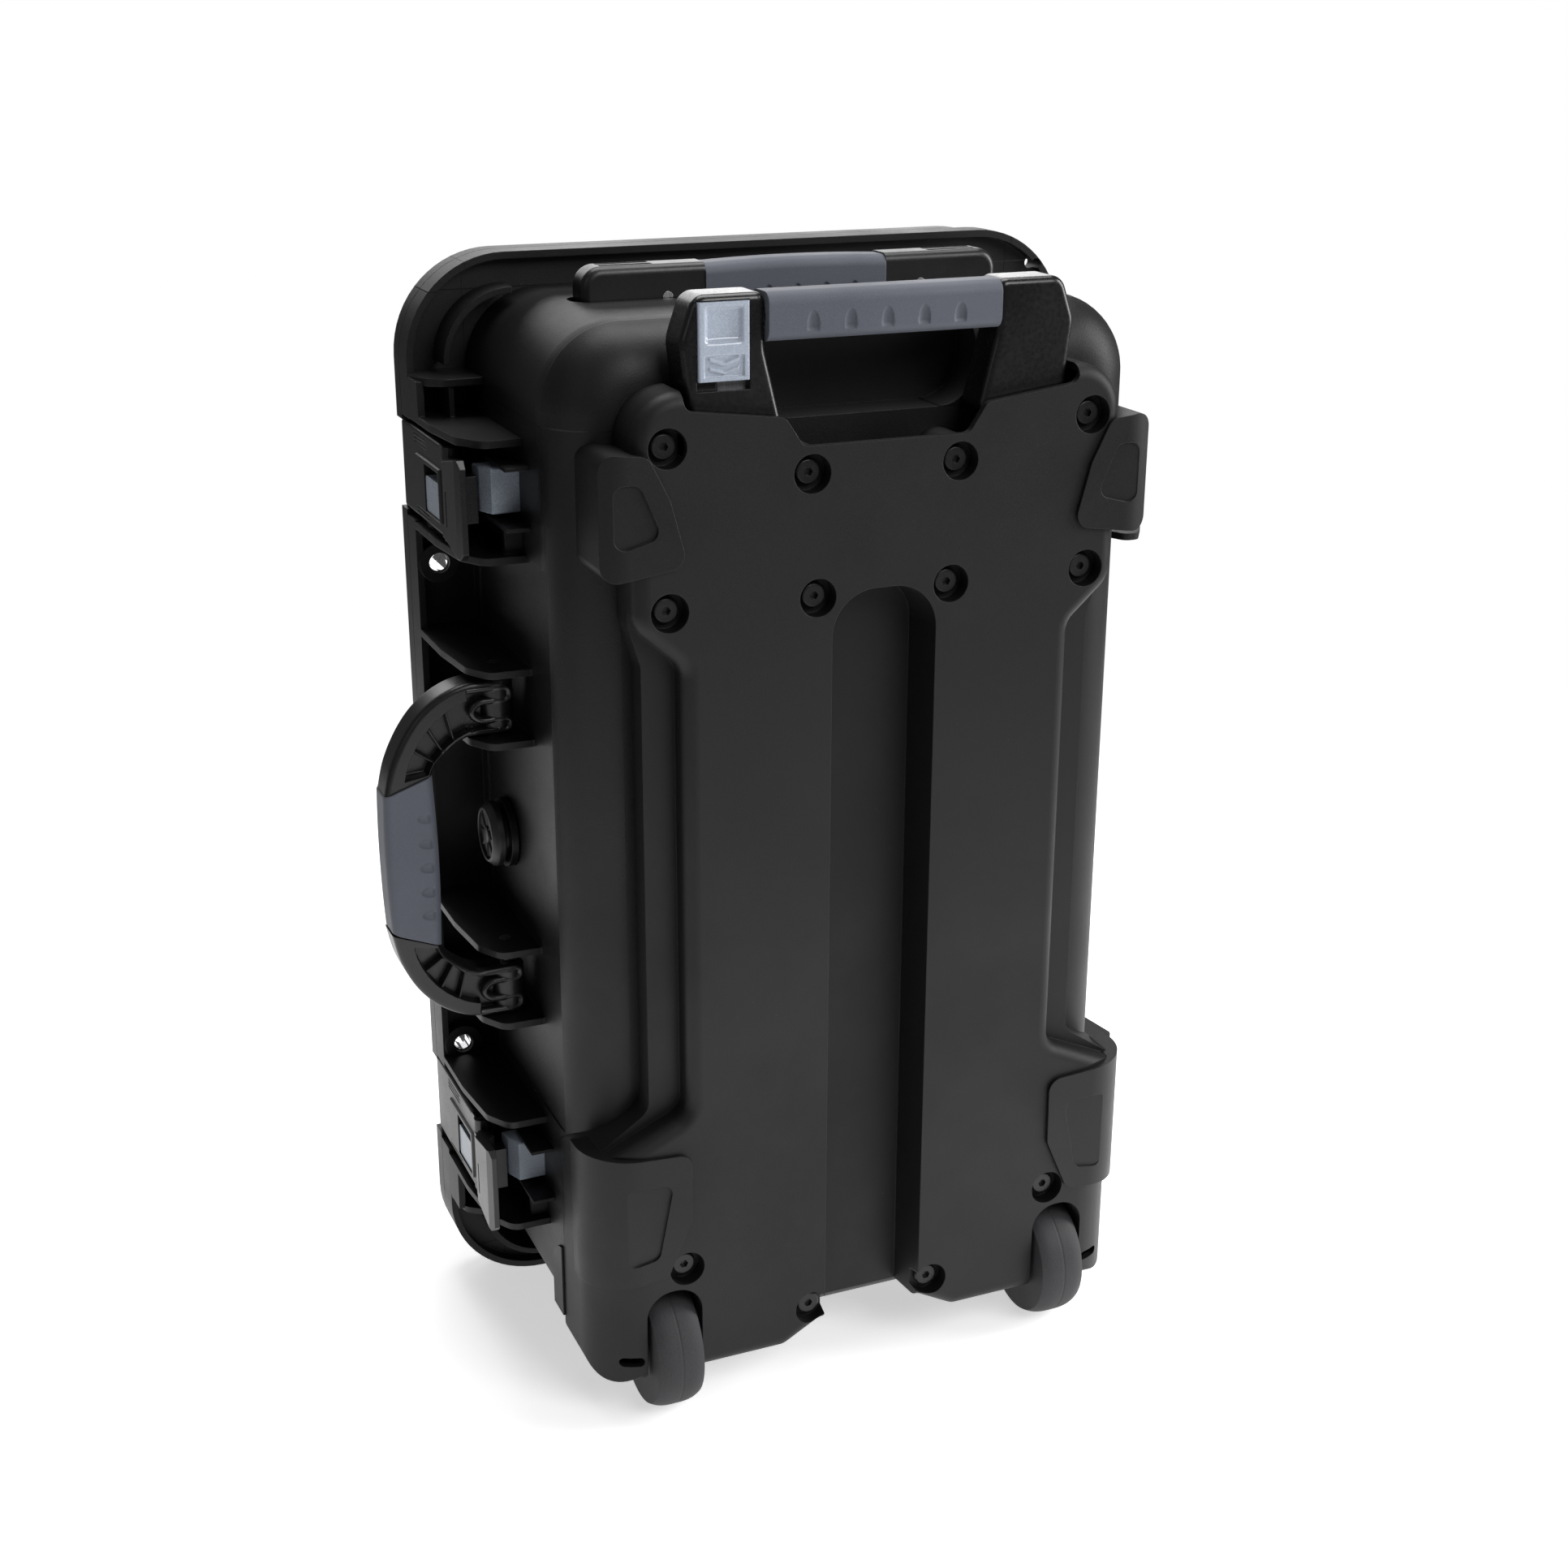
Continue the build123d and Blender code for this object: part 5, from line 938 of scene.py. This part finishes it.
@dataclass
class SideHandle:
    """The folding handle on the latch side: two ribbed arms, their springy loops and the grip.

    Its outlines are stations (x, z) in millimetres, with z measured from centre_z.
    """

    centre_z: float = 282.3
    centre_y: float = -19.0
    half_depth: float = 9.0
    corner: float = 2.6
    outer: Stations = ((-160, 88), (-168, 88), (-176, 87.4), (-184, 85.2), (-192.5, 80.6), (-201, 73.2),
                       (-208.5, 62.6), (-214.5, 49.5), (-218, 35))
    inner: Stations = ((-160, 61.8), (-167, 61.8), (-174, 61.4), (-180, 59.2), (-184.5, 56.2), (-188.5, 52.8),
                       (-191.6, 49.6), (-193.6, 46.6), (-194.5, 44))
    lower_trim: float = 2.0
    trim_from: float = 60.0
    bed_depth: float = 6.0
    rib_places: tuple[float, ...] = (0.44, 0.60, 0.76)
    rib_half: float = 0.014
    rib_share: float = 0.8
    barrel_radius: float = 8.6
    barrel_bevel: float = 0.6
    barrel_tip: float = 0.5
    loops: Stations = ((-176, 83.6), (-158, 83.6), (-154.8, 80.5), (-157, 77.4), (-169, 77.2), (-173.5, 72.8),
                       (-169, 68.2), (-157, 68.0), (-154.8, 64.9), (-158, 62.4), (-176, 62.9))
    loop_forward: float = 5.6
    loop_wide: float = 2.0
    loop_deep: float = 3.0
    grip_outer: Stations = ((-218.3, 36), (-218.8, 18), (-218.8, 0), (-218.4, -18), (-217.6, -34))
    grip_inner: Stations = ((-194.2, 44.5), (-193.2, 20), (-192.8, 0), (-193.0, -20), (-193.8, -43.5))
    grip_half_depth: float = 10.2
    grip_corner: float = 4.4
    dents: tuple[float, ...] = (23.7, 10.7, -1.7, -14.3, -26.3)
    dent_level: float = -197.4

    def recess(self, u: Array, w: Array, x: Array, z: Array) -> Array:
        """Sinks the loops' bed and the pocket, which narrows towards the grip, and leaves three thin ribs.

        Args:
            u: how far along the arm, 0 at its pivot and 1 at the grip.
            w: how far across it, -1 at its inner edge and 1 at its outer edge.
            x: places along X, which it doesn't need.
            z: places along Z, which it doesn't need either.

        Returns:
            The depth at each point, in millimetres.
        """
        bed = step(u, -0.1, 0.26, 0.012) * step(w, -1.05, 0.80, 0.05)
        pocket = step(u, -0.1, 0.94, 0.02) * step(w, -0.80, 0.46 - 0.25 * u, 0.07)
        ribs = np.max([step(u, c - self.rib_half, c + self.rib_half, 0.006) for c in self.rib_places], axis=0)
        return self.bed_depth * np.maximum(bed, pocket * (1.0 - self.rib_share * ribs))

    def barrel(self, low: float, high: float) -> Skin:
        """Turns the pivot barrel at the end of an arm.

        Args:
            low: where it starts, in millimetres from the handle's middle.
            high: where it ends.

        Returns:
            The closed barrel, bevelled at both ends.
        """
        big, bevel, tip = self.barrel_radius, self.barrel_bevel, self.barrel_tip
        profile = [(tip, low), (big - bevel, low), (big, low + bevel),
                   (big, high - bevel), (big - bevel, high), (tip, high)]
        return lathe(profile, (self.outer[0][0], self.centre_y, self.centre_z), 2)

    def arm(self, sign: int) -> list[Skin]:
        """One arm with its loops and its pivot barrel. The lower arm's far end is trimmed a little.

        Args:
            sign: 1 for the upper arm and -1 for the lower.

        Returns:
            The arm's skins.
        """
        trim = 0.0 if sign > 0 else self.lower_trim
        near, far = self.inner[0][1], self.outer[0][1]
        run = far - self.trim_from
        trimmed = [(x, z - trim * max(0.0, z - self.trim_from) / run) for x, z in self.outer]
        outer, inner, loops = (
            [(x, self.centre_z + sign * z) for x, z in line] for line in (trimmed, self.inner, self.loops)
        )
        body = Ribbon(outer, inner, self.centre_y, self.half_depth, self.corner, rings=170, face=84,
                      relief=self.recess)
        springs = tube(loops, self.centre_y - self.loop_forward, self.loop_wide, self.loop_deep)
        return [body.skin(), springs, self.barrel(*sorted((sign * near, sign * (far - trim))))]

    def grip(self) -> Skin:
        """Shapes the grip between the arms, with slanted seams and five ovals.

        Returns:
            The closed grip.
        """
        dents = GripDents(tuple(self.centre_z + k for k in self.dents), self.dent_level, upright=True,
                          half_along=2.6, half_across=5.6)
        edges = (self.grip_outer, self.grip_inner)
        outer, inner = ([(x, self.centre_z + z) for x, z in line] for line in edges)
        return Ribbon(outer, inner, self.centre_y, self.grip_half_depth, self.grip_corner, rings=200, face=70,
                      relief=dents).skin()

    def build(self) -> list[bpy.types.Object]:
        """Makes the frame and the grip.

        Returns:
            The two objects.
        """
        arms = self.arm(1) + self.arm(-1)
        return [
            make_piece("side_handle_arms", arms, HANDLE, "side_handle", ["side_handle_frame"]),
            make_piece("side_handle_soft_grip", [self.grip()], GRIP, "side_handle", ["side_handle_grip"]),
        ]


@dataclass
class BarGrip:
    """A grip along X whose size comes from the CAD node it stands for."""

    node: str
    body: str
    radius: float
    arch: float
    dents: tuple[float, ...]
    dent_lift: float = 0.8

    def build(self) -> list[bpy.types.Object]:
        """Makes the grip, its top line arched by arch * (1 - s^2) and its front dented at the lower edge.

        Returns:
            The one object.
        """
        low, high = box_mm(self.node)
        middle, xs = (low[0] + high[0]) / 2, np.linspace(low[0], high[0], 7)
        bend = self.arch * (1 - ((xs - middle) / (high[0] - middle)) ** 2)
        outer = list(zip(xs, high[2] - self.arch + bend))
        inner = list(zip(xs, low[2] + 0 * xs))
        dents = GripDents(tuple(middle + k for k in self.dents), low[2] + self.radius + self.dent_lift)
        bar = Ribbon(outer, inner, (low[1] + high[1]) / 2, (high[1] - low[1]) / 2, self.radius, rings=260,
                     relief=dents)
        return [make_piece(self.node + "_soft", [bar.skin()], GRIP, self.body, [self.node])]


@dataclass
class ReleaseButton:
    """The clear button of the pull handle: a thumb scoop above a ridge, two chevrons below."""

    node: str = "release_button"
    corner: float = 1.0
    ridge: float = 0.42
    scoop_depth: float = 2.1
    field_depth: float = 1.0
    chevrons: tuple[float, ...] = (0.12, 0.23)
    chevron_height: float = 0.055
    chevron_slope: float = 0.11

    def relief(self, u: Array, w: Array, x: Array, z: Array) -> Array:
        """Sinks the scoop and the lower field, where the chevrons stay standing.

        The scoop is scoop_depth * (0.6 + 0.4 (1 - w^2)) deep, so its middle is the deepest.

        Args:
            u: how far up the button, from 0 to 1.
            w: how far across it, from -1 to 1.
            x: places along X, which it doesn't need.
            z: places along Z, which it doesn't need either.

        Returns:
            The depth at each point, in millimetres.
        """
        scoop = step(u, self.ridge + 0.04, 0.93, 0.08) * step(w, -0.78, 0.78, 0.2)
        lower = step(u, 0.07, self.ridge - 0.05, 0.03) * step(w, -0.8, 0.8, 0.08)
        slanted = u - self.chevron_slope * np.abs(w)
        lift = [step(slanted, c, c + self.chevron_height, 0.015) for c in self.chevrons]
        standing = np.max(lift, axis=0) * step(w, -0.62, 0.62, 0.06)
        hollow = self.scoop_depth * scoop * (0.6 + 0.4 * (1 - w**2))
        return hollow + self.field_depth * lower * (1 - standing)

    def build(self) -> list[bpy.types.Object]:
        """Makes the button to the box of its CAD node.

        Returns:
            The one object.
        """
        low, high = box_mm(self.node)
        outer, inner = ([(x, low[2]), (x, high[2])] for x in (high[0], low[0]))
        plate = Ribbon(outer, inner, (low[1] + high[1]) / 2, (high[1] - low[1]) / 2, self.corner, rings=150,
                       face=90, relief=self.relief)
        return [make_piece("button_plate", [plate.skin()], BUTTON, "release_button", [self.node])]


@dataclass
class ValveCap:
    """The turned cap of the pressure valve, bevelled and recessed, with small ribs."""

    node: str = "valve_cap"
    recess_radius: float = 12.6
    recess_depth: float = 1.6
    boss_radius: float = 4.4
    boss_sink: float = 0.4
    rib_height: float = 0.8
    rib_half: float = 0.12

    def ribs(self, r: Array, angle: Array) -> Array:
        """Lifts eight narrow ribs off the recess floor, where |sin 4a| is small.

        Args:
            r: distance from the axis, in millimetres.
            angle: angle round the axis.

        Returns:
            How far each point is moved along the axis, in millimetres.
        """
        on_floor = (r > self.boss_radius + 0.5) & (r < self.recess_radius - 0.7)
        return -self.rib_height * (np.abs(np.sin(4 * angle)) < self.rib_half) * on_floor

    def build(self) -> list[bpy.types.Object]:
        """Makes the cap within the box of its CAD node.

        Returns:
            The one object.
        """
        low, high = box_mm(self.node)
        out, base, big = low[0], high[0], (high[2] - low[2]) / 2
        wide, boss = self.recess_radius, self.boss_radius
        floor, crown = out + self.recess_depth, out + self.boss_sink
        skirt = [(2.5, base), (big - 0.5, base), (big, base - 0.5), (big, base - 3.2)]
        face = [(big - 2.6, out + 0.1), (big - 3.0, out), (wide, out), (wide - 0.3, out + 0.3)]
        bowl = [(wide - 0.4, floor), (wide - 0.8, floor), (boss + 0.6, floor), (boss, floor)]
        knob = [(boss - 0.2, crown + 0.2), (boss - 0.5, crown), (0.3, crown)]
        place = (0.0, (low[1] + high[1]) / 2, (low[2] + high[2]) / 2)
        cap = lathe(skirt + face + bowl + knob, place, 0, 144, self.ribs)
        return [make_piece("valve_turned_cap", [cap], HUB, "tub", [self.node])]


@dataclass
class Tyre:
    """One solid tyre with a rounded crown and a fine mould seam round it."""

    side: str
    crown_drop: float = 2.6
    crown_power: float = 3.2
    seam_depth: float = 0.25
    seam_half: float = 0.04
    crown_points: int = 41
    wall_points: int = 6

    @property
    def node(self) -> str:
        """Names the CAD tyre.

        Returns:
            The node's name.
        """
        return f"wheel_tyre_{self.side}"

    def build(self) -> list[bpy.types.Object]:
        """Makes the tyre round the hub's rim, to the CAD tyre's box.

        Its crown falls by crown_drop * |s|^crown_power, where s runs from -1 to 1 across it, and by
        seam_depth along the seam.

        Returns:
            The one object.
        """
        low, high = box_mm(self.node)
        big, half, middle = (high[2] - low[2]) / 2, (high[0] - low[0]) / 2, (low + high) / 2
        across = np.linspace(-1, 1, self.crown_points)
        s = np.abs(across)
        crown = big - self.crown_drop * s**self.crown_power - self.seam_depth * (s < self.seam_half)
        wall = np.linspace(crown[-1], self.bore_radius(), self.wall_points + 1)[1:]
        side = np.full(self.wall_points, half)
        profile = [*zip(crown, across * half), *zip(wall, side), *zip(wall[::-1], -side)]
        ring = lathe(profile, tuple(middle), 0, 160, loop=True)
        return [make_piece(f"{self.node}_turned", [ring], TYRE, f"wheel_{self.side}", [self.node])]

    def bore_radius(self) -> float:
        """Measures the CAD tyre's bore.

        Returns:
            How far its innermost points are from the wheel's axis, in millimetres.
        """
        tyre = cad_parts[self.node]
        flat = np.empty(len(tyre.data.vertices) * 3)
        tyre.data.vertices.foreach_get("co", flat)
        world = flat.reshape(-1, 3) @ np.array(tyre.matrix_world.to_3x3()).T
        world = world + np.array(tyre.matrix_world.translation)
        low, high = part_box(self.node)
        centre = (np.array(low) + np.array(high)) / 2
        return float(np.hypot(world[:, 1] - centre[1], world[:, 2] - centre[2]).min() / MM)


PIECES = (
    SideHandle(),
    BarGrip("trolley_grip", "pull_handle", 5.5, 0.0, (-36.0, -18.0, 0.0, 18.0, 36.0)),
    BarGrip("top_handle_grip", "top_handle", 5.0, 1.2, (-30.0, -15.0, 0.0, 15.0, 30.0)),
    ReleaseButton(),
    ValveCap(),
    Tyre("left"),
    Tyre("right"),
)


def dress_nodes() -> None:
    """Gives every CAD node that is still shown the finish of its material slot."""
    for name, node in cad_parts.items():
        current = node.data.materials[0].name.split(".")[0] if node.data.materials else ""
        finish = NODE_FINISH.get(name) or SLOT_FINISH.get(current)
        if finish is None:
            LOG.warning("%s has material %r, which has no finish of its own", name, current)
            finish = BODY
        node.data.materials.clear()
        node.data.materials.append(finish.material())


def main() -> None:
    """Builds the studio and the pieces in order."""
    logging.basicConfig(level=logging.INFO, format="%(name)s: %(message)s")
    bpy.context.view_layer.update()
    Studio().build()
    dress_nodes()
    for piece in PIECES:
        LOG.info("%s made %s", type(piece).__name__, [made.name for made in piece.build()])


if __name__ == "__main__":
    main()
